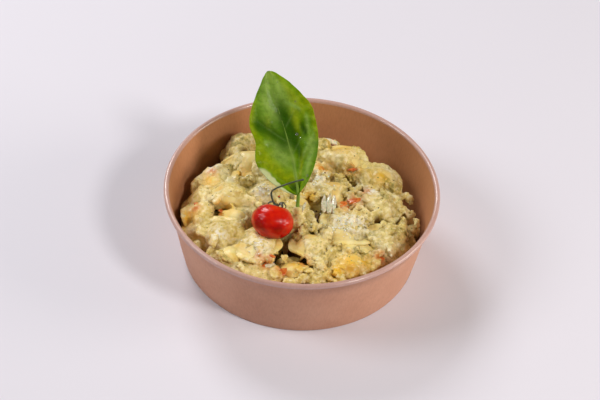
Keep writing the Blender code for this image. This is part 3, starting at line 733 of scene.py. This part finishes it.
yellowed = add_node(tree, "ShaderNodeMix", {"Factor": yolk_share.outputs["Value"], "A": body_colour.outputs["Result"],
                                            "B": linear("#f2ba24")}, data_type="RGBA")
stain_share = add_node(tree, "ShaderNodeMath", {0: tint.outputs["Y"], 1: patchy.outputs["Result"]}, operation="MULTIPLY")
stained = add_node(tree, "ShaderNodeMix", {"Factor": stain_share.outputs["Value"], "A": yellowed.outputs["Result"],
                                           "B": linear("#cc7020")}, data_type="RGBA")
olive = add_node(tree, "ShaderNodeMix", {"Factor": herb_share.outputs["Value"], "A": stained.outputs["Result"],
                                         "B": linear("#8f8034")}, data_type="RGBA")
crumbly = add_node(tree, "ShaderNodeTexNoise", {"Vector": where, "Scale": 1000 / 1.8, "Detail": 3.0})
cheese_edge = add_node(tree, "ShaderNodeMapRange", {"Value": crumbly.outputs["Fac"], "From Min": 0.4, "From Max": 0.58,
                                                     "To Max": 0.85})
cheese_share = add_node(tree, "ShaderNodeMath", {0: mark.outputs["Z"], 1: cheese_edge.outputs["Result"]},
                        operation="MULTIPLY")
whitened = add_node(tree, "ShaderNodeMix", {"Factor": cheese_share.outputs["Value"], "A": olive.outputs["Result"],
                                            "B": linear("#faf5e6")}, data_type="RGBA")
# Painted highlight: the further a spot stands up from the smoothed heap, the paler its cream.
peak_highlight_share = add_node(tree, "ShaderNodeMapRange", {"Value": mark.outputs["X"], "From Min": 0.0, "From Max": -0.6,
                                             "To Max": 0.8})
painted_peak_highlight = add_node(tree, "ShaderNodeMix", {"Factor": peak_highlight_share.outputs["Result"], "A": whitened.outputs["Result"],
                                          "B": linear("#fdf4da")}, data_type="RGBA")
# Painted shade: hollows go golden olive, and the deepest go dark brown.
hollow_shade_share = add_node(tree, "ShaderNodeMapRange", {"Value": mark.outputs["X"], "From Min": -0.05, "From Max": 0.3,
                                             "To Max": 0.5})
painted_golden_shade = add_node(tree, "ShaderNodeMix", {"Factor": hollow_shade_share.outputs["Result"], "A": painted_peak_highlight.outputs["Result"],
                                          "B": linear("#b5a044")}, data_type="RGBA")
deep_shade_share = add_node(tree, "ShaderNodeMapRange", {"Value": mark.outputs["X"], "From Min": 0.12, "From Max": 0.65})
shadowed = add_node(tree, "ShaderNodeMix", {"Factor": deep_shade_share.outputs["Result"], "A": painted_golden_shade.outputs["Result"],
                                            "B": linear("#5c3a00")}, data_type="RGBA")
herbs = add_node(tree, "ShaderNodeTexVoronoi", {"Vector": where, "Scale": 1000 / 2.0, "Randomness": 1.0})
speck = add_node(tree, "ShaderNodeMapRange", {"Value": herbs.outputs["Distance"], "From Min": 0.28, "From Max": 0.16})
pick = add_node(tree, "ShaderNodeSeparateColor", {"Color": herbs.outputs["Color"]})
some = add_node(tree, "ShaderNodeMath", {0: pick.outputs["Red"], 1: 0.55}, operation="GREATER_THAN")
flecked = add_node(tree, "ShaderNodeMath", {0: speck.outputs["Result"], 1: some.outputs["Value"]}, operation="MULTIPLY")
soft_fleck = add_node(tree, "ShaderNodeMath", {0: flecked.outputs["Value"], 1: 0.4}, operation="MULTIPLY")
green = add_node(tree, "ShaderNodeMix", {"Factor": soft_fleck.outputs["Value"], "A": shadowed.outputs["Result"],
                                         "B": linear("#707a2c")}, data_type="RGBA")
tree.links.new(green.outputs["Result"], shader.inputs["Base Color"])
grit = add_node(tree, "ShaderNodeTexNoise", {"Vector": where, "Scale": 1000 / 0.9, "Detail": 3.0})
relief = add_node(tree, "ShaderNodeBump", {"Height": grit.outputs["Fac"], "Strength": 0.7, "Distance": 0.0006})
tree.links.new(relief.outputs["Normal"], shader.inputs["Normal"])
sauce_mesh.materials.clear()
sauce_mesh.materials.append(cream)
sauce = bpy.data.objects.new("pesto_cream", sauce_mesh)
scene.collection.objects.link(sauce)
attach(sauce, "root")
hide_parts("pasta_heap")

# ---------------------------------------------------------------- bits in the sauce
# Chopped herbs, cracked pepper, grated cheese and small cut vegetables caught in the cream. They
# lie on the sauce and pasta where they fell, partly sunk in.

ground = BVHTree.FromPolygons(
    [tuple(vertex.co) for vertex in sauce_mesh.vertices] + [tuple(vertex.co) for vertex in tortellini.data.vertices],
    [tuple(face.vertices) for face in sauce_mesh.polygons]
    + [tuple(corner + len(sauce_mesh.vertices) for corner in face.vertices) for face in tortellini.data.polygons])


def settle(x, y):
    """The top of the food at x, y in mm, and its normal."""
    place, normal, _, _ = ground.ray_cast(Vector((x * MM, y * MM, 0.1)), Vector((0.0, 0.0, -1.0)))
    return place, normal


def crumb_mesh(place, size, squash=1.0):
    points, faces = sphere_mesh((0.0, 0.0, 0.0), 0.5 * size, 6, 2)
    shaped = [Vector(point) * (1.0 + 0.5 * noise.noise(Vector(point) / size * 2.3 + place / MM)) for point in points]
    return np.array([[place.x + point.x, place.y + point.y, place.z + squash * point.z] for point in shaped]), faces


def plain_finish(name, low, high, scale, **shader_inputs):
    """A finish whose colour drifts between two tones over about that many mm."""
    made, tree, shader, where = new_material(name, **shader_inputs)
    drift = add_node(tree, "ShaderNodeTexNoise", {"Vector": where, "Scale": 1000 / scale, "Detail": 2.0})
    tone = add_node(tree, "ShaderNodeValToRGB", {"Fac": drift.outputs["Fac"]}, stops=[(0.35, low), (0.65, high)])
    tree.links.new(tone.outputs["Color"], shader.inputs["Base Color"])
    return made


chopped_herb = plain_finish("chopped_herb", "#6d7428", "#9a984a", 2.0, Roughness=0.5, Coat_Weight=0.2)
cracked_pepper = plain_finish("cracked_pepper", "#2a2318", "#4a4030", 0.5, Roughness=0.7)
grated_cheese = plain_finish("grated_cheese", "#ece2c4", "#f8f2e0", 1.5, Roughness=0.55, Subsurface_Weight=0.2,
                             Subsurface_Scale=0.002)
cooked_tomato = plain_finish("cooked_tomato", "#c44c10", "#de8434", 1.6, Roughness=0.3, Coat_Weight=0.3)
cooked_onion = plain_finish("cooked_onion", "#c6bd96", "#e6dcc0", 1.5, Roughness=0.25, Coat_Weight=0.4,
                            Subsurface_Weight=0.3, Subsurface_Scale=0.003)

herbs = []
for place, normal in strewn(90, 0.0, 0.0):
    place, normal = settle(place.x / MM, place.y / MM)
    if place:
        length = rng.uniform(0.5, 1.3) * MM
        herbs.append(chip_mesh(place, normal, rng.uniform(0, 6.28), length, rng.uniform(0.4, 0.8) * length, 0.3 * MM,
                               rng.uniform(-0.5, 0.5), 0.0))
vertices, faces = joined(herbs)
mesh_object("herb_flecks", vertices, faces, chopped_herb)

specks = []
for x, y in ((-38.5, 0.8), (-54.8, -14.4), (-24.1, -38.9), (28, 34), (42, -3.7), (-48, -11), (6, -26), (33, -18),
             (12, 20), (-12, -2), (50, 22), (20, -42), (-41, 22), (38, 12)):
    place, normal = settle(x, y)
    specks.append(crumb_mesh(place, rng.uniform(0.5, 0.9) * MM))
vertices, faces = joined(specks)
mesh_object("pepper_specks", vertices, faces, cracked_pepper)

crumbs = []
for x, y, spread, count in ((24, -21, 8, 70), (22, -25, 6, 20), (-22, -40, 8, 15), (8, 13, 7, 30), (-21, 2, 7, 30),
                            (0, 0, 34, 60)):
    for _ in range(count):
        place, normal = settle(rng.gauss(x, 0.5 * spread), rng.gauss(y, 0.4 * spread))
        if place:
            crumbs.append(crumb_mesh(place, rng.uniform(0.4, 1.3) * MM, 0.6))
vertices, faces = joined(crumbs)
mesh_object("cheese_crumbs", vertices, faces, grated_cheese)


def laid(name, finish, thickness, pieces):
    """Bits laid on the food: x, y, heading in degrees, length and width in mm, tilt and rise in mm."""
    made = []
    for x, y, heading, length, width, tilt, rise in pieces:
        place, normal = settle(x, y)
        normal = (normal + Vector((0.0, 0.0, 4.0))).normalized()
        made.append(chip_mesh(place + normal * rise * MM, normal, math.radians(heading), length * MM, width * MM,
                              thickness * MM, math.radians(tilt), 12.0))
    vertices, faces = joined(made)
    mesh_object(name, vertices, faces, finish)


laid("tomato_strips", cooked_tomato, 1.1, (
    (22.5, -5.0, 55, 6.5, 3.6, 6, 0.1), (28.6, 0.8, 22, 8.0, 3.8, -6, 0.1), (25.5, -1.8, 40, 6.0, 2.4, 0, 0.0),
    (43.4, -40.0, 5, 6.0, 2.6, 0, 0.3),
    (-43.0, -8.0, -30, 4.0, 1.8, 10, 0.2), (-57.0, -4.5, 0, 2.8, 2.2, 0, 0.1), (-8.3, -54.8, 40, 8.0, 4.0, 10, 0.3),
    (-17.5, -50.5, 70, 4.5, 2.6, 0, 0.2), (-14.0, -47.0, -10, 3.5, 1.6, 0, 0.2), (-12.3, -1.4, 30, 1.6, 1.0, 0, 0.1),
    (27.0, 23.0, 10, 5.5, 1.8, 0, 0.0)))
laid("onion_slivers", cooked_onion, 1.5, (
    (12.5, -6.5, 88, 12.5, 3.3, 14, 1.4), (15.0, -6.0, 90, 14.5, 3.3, 0, 1.7), (17.5, -6.5, 92, 12.5, 3.3, -14, 1.4),
    (14.5, 51.5, -25, 9.0, 3.0, 6, 0.2), (-15.0, -50.0, 30, 6.0, 3.0, -10, 0.3), (1.5, -13.0, 80, 7.0, 1.8, 10, 0.8)))

# ---------------------------------------------------------------- cherry tomato
# A ripe cherry tomato pressed into the pasta with its dimple turned up and away. The skin is
# thin, taut and glossy, orange towards the dimple and crimson below.

TOMATO_RADIUS = 11.5 * MM
TOMATO_HEIGHT = 19.0 * MM
TOMATO_CENTRE = Vector((-14.8, -25.2, 43.2)) * MM
TOMATO_AXIS = Vector((0.20, 0.66, 0.72)).normalized()
TOMATO_TURN = Vector((0.0, 0.0, 1.0)).rotation_difference(TOMATO_AXIS).to_matrix()

points, faces = sphere_mesh((0.0, 0.0, 0.0), 1.0, around=96, rings=32)
shaped = []
for point in points:
    spread = math.hypot(point[0], point[1])
    dimple = 0.16 * math.exp(-(spread / 0.3) ** 2) if point[2] > 0 else 0.05 * math.exp(-(spread / 0.2) ** 2)
    local = Vector((point[0] * TOMATO_RADIUS, point[1] * TOMATO_RADIUS,
                    point[2] * (1.0 - dimple) * 0.5 * TOMATO_HEIGHT))
    local *= 1.0 + 0.03 * noise.noise(Vector(point) * 1.7) + 0.008 * noise.noise(Vector(point) * 6)
    shaped.append(TOMATO_CENTRE + TOMATO_TURN @ local)

tomato_skin, tree, shader, where = new_material(
    "tomato_skin", Roughness=0.3, Specular_IOR_Level=0.15, Coat_Weight=0.6, Coat_Roughness=0.03, IOR=1.4,
    Subsurface_Weight=0.15, Subsurface_Scale=0.003)
shader.inputs["Subsurface Radius"].default_value = (1.0, 0.12, 0.05)
# Skin over red flesh, mottled a little, with a lighter orange shoulder near the dimple.
flesh = add_node(tree, "ShaderNodeTexNoise", {"Vector": where, "Scale": 1000 / 7, "Detail": 3.0})
ripe = add_node(tree, "ShaderNodeValToRGB", {"Fac": flesh.outputs["Fac"]},
                stops=[(0.35, "#9e0400"), (0.52, "#c40a00"), (0.7, "#dc2804")])
spot = TOMATO_CENTRE + 0.8 * TOMATO_RADIUS * Vector((0.75, 0.1, 0.65))
distance = add_node(tree, "ShaderNodeVectorMath", {0: where, 1: spot}, operation="DISTANCE")
shoulder = add_node(tree, "ShaderNodeMapRange", {"Value": distance.outputs["Value"], "From Min": 0.011, "From Max": 0.003})
skin_colour = add_node(tree, "ShaderNodeMix", {"Factor": shoulder.outputs["Result"], "A": ripe.outputs["Color"],
                                               "B": linear("#ca1c02")}, data_type="RGBA")
tree.links.new(skin_colour.outputs["Result"], shader.inputs["Base Color"])
pores = add_node(tree, "ShaderNodeTexNoise", {"Vector": where, "Scale": 1000 / 2.4, "Detail": 1.0})
taut = add_node(tree, "ShaderNodeBump", {"Height": pores.outputs["Fac"], "Strength": 0.8, "Distance": 0.001})
tree.links.new(taut.outputs["Normal"], shader.inputs["Coat Normal"])
tomato = mesh_object("cherry_tomato_skin", shaped, faces, tomato_skin)
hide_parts("cherry_tomato")

# ---------------------------------------------------------------- tomato stalk
# What is left of the truss: a dry dark wire of stalk that hooks up and over to the right, and
# small shrivelled sepals curled round its foot.


def smooth_path(points, pieces):
    """A Catmull-Rom curve through the points."""
    points = [Vector(point) for point in points]
    padded = [2 * points[0] - points[1]] + points + [2 * points[-1] - points[-2]]
    path = []
    for place in range(len(points) - 1):
        a, b, c, d = padded[place:place + 4]
        for step in range(pieces):
            t = step / pieces
            path.append(0.5 * (2 * b + (c - a) * t + (2 * a - 5 * b + 4 * c - d) * t * t
                               + (3 * b - a - 3 * c + d) * t ** 3))
    return path + [points[-1]]


def tube_mesh(path, radii, around=12, flat=1.0):
    """A round or flattened tube along a path, with a radius for each of its points."""
    vertices = []
    faces = []
    side = Vector((0.3, 1.0, 0.2))
    for place, point in enumerate(path):
        heading = (path[min(place + 1, len(path) - 1)] - path[max(place - 1, 0)]).normalized()
        side = (side - heading * side.dot(heading)).normalized()
        up = heading.cross(side)
        for step in range(around):
            angle = 2 * math.pi * step / around
            vertices.append(point + radii[place] * (math.cos(angle) * side + flat * math.sin(angle) * up))
        if place:
            base = (place - 1) * around
            faces.extend((base + step, base + (step + 1) % around, base + around + (step + 1) % around,
                          base + around + step) for step in range(around))
    vertices.extend([path[0], path[-1]])
    first = len(vertices) - 2
    base = (len(path) - 1) * around
    faces.extend((first, (step + 1) % around, step) for step in range(around))
    faces.extend((first + 1, base + step, base + (step + 1) % around) for step in range(around))
    return vertices, faces


CROWN = TOMATO_CENTRE + TOMATO_AXIS * (0.5 * TOMATO_HEIGHT * 0.84)
wire = smooth_path([CROWN - TOMATO_AXIS * 0.4 * MM, Vector((-15.6, -19.0, 53.7)) * MM, Vector((-16.2, -17.5, 57.2)) * MM,
                    Vector((-14.3, -16.5, 59.0)) * MM, Vector((-9.8, -15.0, 60.5)) * MM,
                    Vector((-4.5, -13.0, 61.5)) * MM, Vector((0.7, -11.0, 61.8)) * MM], 8)
radii = [(0.55 - 0.15 * place / len(wire)) * MM for place in range(len(wire))]
radii[-3:] = [0.55 * MM, 0.62 * MM, 0.4 * MM]
stalk_parts = [tube_mesh(wire, radii)]
for angle, length, curl in ((20, 5.5, 3.2), (95, 3.5, 1.5), (165, 4.8, 2.4), (235, 3.0, 1.2), (310, 4.4, 2.8)):
    out = TOMATO_TURN @ Vector((math.cos(math.radians(angle)), math.sin(math.radians(angle)), 0.0))
    curve = smooth_path([CROWN + out * 0.3 * MM, CROWN + out * 0.45 * length * MM + TOMATO_AXIS * curl * 0.9 * MM,
                         CROWN + out * 0.8 * length * MM + TOMATO_AXIS * curl * 0.75 * MM,
                         CROWN + out * length * MM + TOMATO_AXIS * curl * 0.3 * MM,
                         CROWN + out * 0.85 * length * MM + TOMATO_AXIS * 0.45 * MM], 6)
    widths = [(0.3 + 0.5 * math.sin(math.pi * min(1.0, 0.1 + place / len(curve)))) * MM for place in range(len(curve))]
    stalk_parts.append(tube_mesh(curve, widths, 10, 0.4))
vertices, faces = joined(stalk_parts)

dry_stalk, tree, shader, where = new_material("dry_tomato_stalk", Roughness=0.5, Coat_Weight=0.3, Coat_Roughness=0.2)
# Dried green stalk: near black green, browner in patches.
patch = add_node(tree, "ShaderNodeTexNoise", {"Vector": where, "Scale": 1000 / 3, "Detail": 2.0})
dried = add_node(tree, "ShaderNodeValToRGB", {"Fac": patch.outputs["Fac"]},
                 stops=[(0.35, "#2c3a26"), (0.55, "#35402a"), (0.7, "#4a3226")])
tree.links.new(dried.outputs["Color"], shader.inputs["Base Color"])
stalk = mesh_object("truss_stalk", vertices, faces, dry_stalk)
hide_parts("tomato_stalk")

# ---------------------------------------------------------------- basil leaf
# One large fresh basil leaf stood up in the pasta by its stem. The blade is cupped and quilted
# between its veins, glossy with oil, and its lower left margin curls to show the pale underside.

LEAF_FOOT = Vector((-1.4, -17.0, 34.0)) * MM
LEAF_BASE = Vector((-2.6, -11.0, 50.0)) * MM
LEAF_TIP = Vector((-21.8, 40.0, 92.7)) * MM
LEAF_ALONG = (LEAF_TIP - LEAF_BASE).normalized()
LEAF_ACROSS = LEAF_ALONG.cross(Vector((0.05, -0.72, 0.69))).normalized()
LEAF_OUTWARD = LEAF_ACROSS.cross(LEAF_ALONG).normalized()
LEAF_SHEET = 0.35 * MM
LEAF_ROWS = 120
LEAF_COLUMNS = 64
VEIN_PAIRS = 4.5

# Streaks across the blade from one point to another, each point as its share of the way up the
# midrib and out to the margin, with the streak's width: hollows, darkened with painted shade; pale
# streaks, a painted sheen on the swellings and the ribs' own paler green; and yellower green.
HOLLOW_STREAKS = ((0.60, -0.74, 0.44, -0.14, 0.15), (0.66, 0.05, 0.48, 0.03, 0.20), (0.62, 0.14, 0.48, 0.22, 0.14),
                  (0.52, 0.57, 0.48, 0.60, 0.07), (0.42, 0.22, 0.34, 0.32, 0.14),
                  (0.06, -0.40, 0.06, 0.30, 0.08))
SHEEN_AND_RIB_STREAKS = ((0.98, -0.55, 0.82, -0.30, 0.40), (0.94, 0.30, 0.86, 0.30, 0.30), (0.78, -0.48, 0.63, -0.06, 0.06),
                 (0.80, 0.00, 0.70, 0.00, 0.12), (0.42, 0.03, 0.08, 0.03, 0.07), (0.38, -0.36, 0.32, -0.20, 0.16),
                 (0.32, 0.76, 0.20, 0.68, 0.16), (0.42, 0.85, 0.30, 0.45, 0.05), (0.46, -0.70, 0.39, -0.08, 0.04),
                 (0.74, 0.30, 0.66, 0.62, 0.04), (0.58, 0.75, 0.48, 0.70, 0.06))
YELLOW_STREAKS = ((0.68, 0.48, 0.54, 0.38, 0.14), (0.62, -0.42, 0.55, -0.50, 0.08), (0.36, -0.85, 0.16, -0.40, 0.20),
                  (0.72, 0.95, 0.45, 0.97, 0.10), (0.72, -0.97, 0.52, -0.97, 0.12), (0.14, -0.20, 0.10, 0.10, 0.10),
                  (0.80, 0.60, 0.72, 0.70, 0.20), (0.30, 0.40, 0.16, 0.28, 0.08))


def streaks(t, side, strokes):
    """How far a point of the blade lies within the streaks, from 0 to 1."""
    share = 0.0
    for t0, side0, t1, side1, width in strokes:
        along = (1.8 * (t1 - t0), side1 - side0)
        off = (1.8 * (t - t0), side - side0)
        way = max(0.0, min(1.0, (along[0] * off[0] + along[1] * off[1]) / (along[0] ** 2 + along[1] ** 2)))
        away = math.hypot(off[0] - way * along[0], off[1] - way * along[1])
        share = 1.0 - (1.0 - share) * (1.0 - 0.9 * math.exp(-(away / width) ** 2))
    return share


def leaf_half_width(t, side):
    """An ovate blade in mm, its right side fullest past the middle and its left side waisted."""
    blunt = (1.0 - t) ** 0.3 * math.exp(-(1.0 - t) / 0.05)
    if side > 0:
        width = 55.5 * t ** 0.8 * (1.0 - t) ** 0.76 + 1.0 * math.exp(-((t - 0.66) / 0.08) ** 2) + 1.5 * blunt
    else:
        width = (62.0 * t ** 0.75 * (1.0 - t) ** 0.98 * (1.0 - 0.19 * math.exp(-((t - 0.47) / 0.11) ** 2))
                 + 4.0 * blunt)
    return width * MM


def leaf_point(t, side):
    """A point of the blade, and how much vein, hollow (painted shade), underside, pale streak (painted sheen on
    swellings, paler rib) and yellow it shows.
    """
    reach = abs(side)
    margin = side * leaf_half_width(t, side) + 2.2 * MM * math.sin(math.pi * min(1.0, 1.1 * t + 0.12)) * (1 - reach)
    arch = -3.0 * MM * math.sin(math.pi * t)
    cup = 5.0 * MM * reach ** 1.8 * math.sin(math.pi * min(1.0, 1.15 * t))
    ripple = 0.3 * MM * math.sin(70 * t + 2 * side) * reach ** 6
    pair = (t + 0.02 - 0.3 * reach ** 1.1) * VEIN_PAIRS + (0.5 if side > 0 else 0.0)
    near = abs((pair + 0.5) % 1.0 - 0.5)
    fade = max(0.0, min(1.0, 1.6 * (1.0 - reach))) * min(1.0, 8 * t * (1 - t))
    lateral = 0.6 * math.exp(-(near / 0.05) ** 2) * fade * min(1.0, 12 * reach)
    midrib = math.exp(-(side * leaf_half_width(t, side) / (0.7 * MM)) ** 2) * max(0.12, 1.0 - 1.9 * t)
    quilt = 0.7 * MM * math.sin(math.pi * (pair % 1.0)) ** 2 * math.sin(math.pi * reach) ** 2 * (1.0 - 0.5 * t)
    swell = 1.3 * MM * noise.noise(Vector((3.2 * t, 1.8 * side, 4.1))) * (1.0 - reach ** 4) * math.sin(math.pi * t)
    hollow = streaks(t, side, HOLLOW_STREAKS)
    sheen_and_rib = streaks(t, side, SHEEN_AND_RIB_STREAKS)
    yellow = streaks(t, side, YELLOW_STREAKS)
    frayed = 0.04 * noise.noise(Vector((40 * t, 1.0, 2.0)))
    curl = max(0.0, 1.0 - abs(t - 0.13) / 0.15) ** 0.7 * max(0.0, -side - 0.70 + frayed) / 0.30
    place = (LEAF_BASE + LEAF_ALONG * ((LEAF_TIP - LEAF_BASE).length * t) + LEAF_ACROSS * (margin + 0.4 * MM * curl)
             + LEAF_OUTWARD * (arch + cup + quilt + swell + ripple - 0.3 * MM * lateral - 0.4 * MM * midrib
                               - 1.2 * MM * hollow + 0.4 * MM * sheen_and_rib + 0.5 * MM * yellow + 1.6 * MM * curl ** 2))
    under = max(0.0, min(1.0, 8.0 * (curl - 0.12)))
    return place, max(lateral * 0.6, midrib), hollow, under, sheen_and_rib, yellow


rows = []
for row in range(LEAF_ROWS + 1):
    t = row / LEAF_ROWS
    rows.append([leaf_point(min(0.999, max(0.001, t)), 2 * column / LEAF_COLUMNS - 1) for column in range(LEAF_COLUMNS + 1)])
front = np.array([[place for place, *_ in row] for row in rows])
shown = np.array([[rest for place, *rest in row] for row in rows]).reshape(-1, 5)
slope_t = np.gradient(front, axis=0)
slope_s = np.gradient(front, axis=1)
normals = np.cross(slope_s, slope_t)
normals /= np.maximum(np.linalg.norm(normals, axis=-1, keepdims=True), 1e-12)
normals *= np.sign((normals * np.array(LEAF_OUTWARD)).sum(-1, keepdims=True))
back = front - normals * LEAF_SHEET
wide = LEAF_COLUMNS + 1
total = (LEAF_ROWS + 1) * wide
faces = []
for row in range(LEAF_ROWS):
    for column in range(LEAF_COLUMNS):
        a = row * wide + column
        faces.append((a, a + 1, a + wide + 1, a + wide))
        faces.append((total + a, total + a + wide, total + a + wide + 1, total + a + 1))
    left = row * wide
    right = row * wide + LEAF_COLUMNS
    faces.append((left, left + wide, total + left + wide, total + left))
    faces.append((right, total + right, total + right + wide, right + wide))
for column in range(LEAF_COLUMNS):
    faces.append((column, total + column, total + column + 1, column + 1))
    top = LEAF_ROWS * wide + column
    faces.append((top, top + 1, total + top + 1, total + top))
blade = (np.concatenate([front.reshape(-1, 3), back.reshape(-1, 3)]), faces)

rib = [Vector(front[int(share * LEAF_ROWS)][LEAF_COLUMNS // 2]) - LEAF_OUTWARD * 0.4 * MM for share in (0.0, 0.1, 0.25, 0.45, 0.65, 0.85)]
stem = smooth_path([LEAF_FOOT, 0.5 * (LEAF_FOOT + LEAF_BASE) + Vector((0, 0, 0.5 * MM))] + rib, 6)
radii = [max(0.25, 1.15 - 0.9 * place / len(stem)) * MM for place in range(len(stem))]
petiole = tube_mesh(stem, radii, 16)
vertices, faces = joined([blade, petiole])
vertices[:, 2] = np.minimum(vertices[:, 2], cad_box[1][2] - 0.1 * MM)

basil, tree, shader, where = new_material(
    "fresh_basil", Roughness=0.55, Coat_Weight=0.03, Coat_Roughness=0.12, Subsurface_Weight=0.15,
    Subsurface_Scale=0.0015, IOR=1.45, Specular_IOR_Level=0.06)
shader.inputs["Subsurface Radius"].default_value = (0.5, 1.0, 0.2)
# Leaf green, yellower in cloudy patches; painted shade darkens the cupped middle and hollows, a painted sheen pales the
# swellings, and veins and underside are pale.
cloud = add_node(tree, "ShaderNodeTexNoise", {"Vector": where, "Scale": 1000 / 11, "Detail": 3.0})
leafy = add_node(tree, "ShaderNodeValToRGB", {"Fac": cloud.outputs["Fac"]},
                 stops=[(0.3, "#4f7600"), (0.5, "#648a00"), (0.7, "#7c9a06")])
marks = add_node(tree, "ShaderNodeAttribute", attribute_name="shown")
split = add_node(tree, "ShaderNodeSeparateXYZ", {"Vector": marks.outputs["Vector"]})
tones = add_node(tree, "ShaderNodeAttribute", attribute_name="tones")
tone = add_node(tree, "ShaderNodeSeparateXYZ", {"Vector": tones.outputs["Vector"]})
yellowed = add_node(tree, "ShaderNodeMix", {"Factor": tone.outputs["Y"], "A": leafy.outputs["Color"],
                                            "B": linear("#8c9a00")}, data_type="RGBA")
# Painted sheen on the swellings, together with the ribs' own paler green, from the pale streaks.
sheened_green = add_node(tree, "ShaderNodeMix", {"Factor": tone.outputs["X"], "A": yellowed.outputs["Result"],
                                           "B": linear("#8aa648")}, data_type="RGBA")
# Painted shade darkens the crinkle's creases and painted light pales its rises, following the bump that the crinkle
# also drives.
crinkle = add_node(tree, "ShaderNodeTexNoise", {"Vector": where, "Scale": 1000 / 3.6, "Detail": 5.0})
crease_shade_share = add_node(tree, "ShaderNodeMapRange", {"Value": crinkle.outputs["Fac"], "From Min": 0.54, "From Max": 0.4,
                                               "To Max": 0.28})
crease_shaded_green = add_node(tree, "ShaderNodeMix", {"Factor": crease_shade_share.outputs["Result"], "A": sheened_green.outputs["Result"],
                                                 "B": linear("#3c6400")}, data_type="RGBA")
lit = add_node(tree, "ShaderNodeMapRange", {"Value": crinkle.outputs["Fac"], "From Min": 0.54, "From Max": 0.7,
                                            "To Max": 0.2})
lit_green = add_node(tree, "ShaderNodeMix", {"Factor": lit.outputs["Result"], "A": crease_shaded_green.outputs["Result"],
                                             "B": linear("#9ab24a")}, data_type="RGBA")
# Painted shade: the hollow streaks darken to deep green.
hollow_shaded_green = add_node(tree, "ShaderNodeMix", {"Factor": split.outputs["Y"], "A": lit_green.outputs["Result"],
                                            "B": linear("#2c5000")}, data_type="RGBA")
veins = add_node(tree, "ShaderNodeMath", {0: split.outputs["X"], 1: 0.45}, operation="MULTIPLY")
veined = add_node(tree, "ShaderNodeMix", {"Factor": veins.outputs["Value"], "A": hollow_shaded_green.outputs["Result"],
                                          "B": linear("#93a95c")}, data_type="RGBA")
under = add_node(tree, "ShaderNodeMix", {"Factor": split.outputs["Z"], "A": veined.outputs["Result"],
                                         "B": linear("#bcc38e")}, data_type="RGBA")
tree.links.new(under.outputs["Result"], shader.inputs["Base Color"])
cells = add_node(tree, "ShaderNodeTexVoronoi", {"Vector": where, "Scale": 1000 / 1.1})
puckered = add_node(tree, "ShaderNodeBump", {"Height": crinkle.outputs["Fac"], "Strength": 0.8, "Distance": 0.0016})
pitted = add_node(tree, "ShaderNodeBump", {"Height": cells.outputs["Distance"], "Normal": puckered.outputs["Normal"],
                                           "Strength": 0.2, "Distance": 0.0002})
tree.links.new(pitted.outputs["Normal"], shader.inputs["Normal"])
leaf = mesh_object("basil_blade_and_stem", vertices, faces, basil)
# The stem is pale like a vein, with a little painted sheen.
shown = np.concatenate([shown, shown, np.tile([0.55, 0.0, 0.0, 0.3, 0.0], (len(petiole[0]), 1))]).astype(np.float32)
marks_layer = leaf.data.attributes.new("shown", "FLOAT_VECTOR", "POINT")
marks_layer.data.foreach_set("vector", shown[:, :3].ravel())
tones_layer = leaf.data.attributes.new("tones", "FLOAT_VECTOR", "POINT")
tones_layer.data.foreach_set("vector", np.pad(shown[:, 3:], ((0, 0), (0, 1))).ravel())
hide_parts("basil_leaf")

# ---------------------------------------------------------------- drops on the leaf
# A few clear drops of oil and water left on the blade.

water, tree, shader, where = new_material("clear_drops", Roughness=0.02, Transmission_Weight=0.9, IOR=1.36)
tint = add_node(tree, "ShaderNodeTexNoise", {"Vector": where, "Scale": 400.0})
clear = add_node(tree, "ShaderNodeValToRGB", {"Fac": tint.outputs["Fac"]}, stops=[(0.3, "#f4f8ec"), (0.7, "#fbfdf6")])
tree.links.new(clear.outputs["Color"], shader.inputs["Base Color"])
drops = []
for t, side, radius in ((0.47, 0.34, 0.9), (0.44, 0.40, 0.5), (0.13, 0.75, 0.7), (0.72, 0.62, 0.5), (0.9, 0.4, 0.45)):
    centre = leaf_point(t, side)[0]
    points, faces = sphere_mesh((0.0, 0.0, 0.0), radius * MM, 16, 6)
    points = points - 0.45 * np.outer(points @ np.array(LEAF_OUTWARD), np.array(LEAF_OUTWARD)) + np.array(centre)
    drops.append((points, faces))
vertices, faces = joined(drops)
mesh_object("leaf_drops", vertices, faces, water)
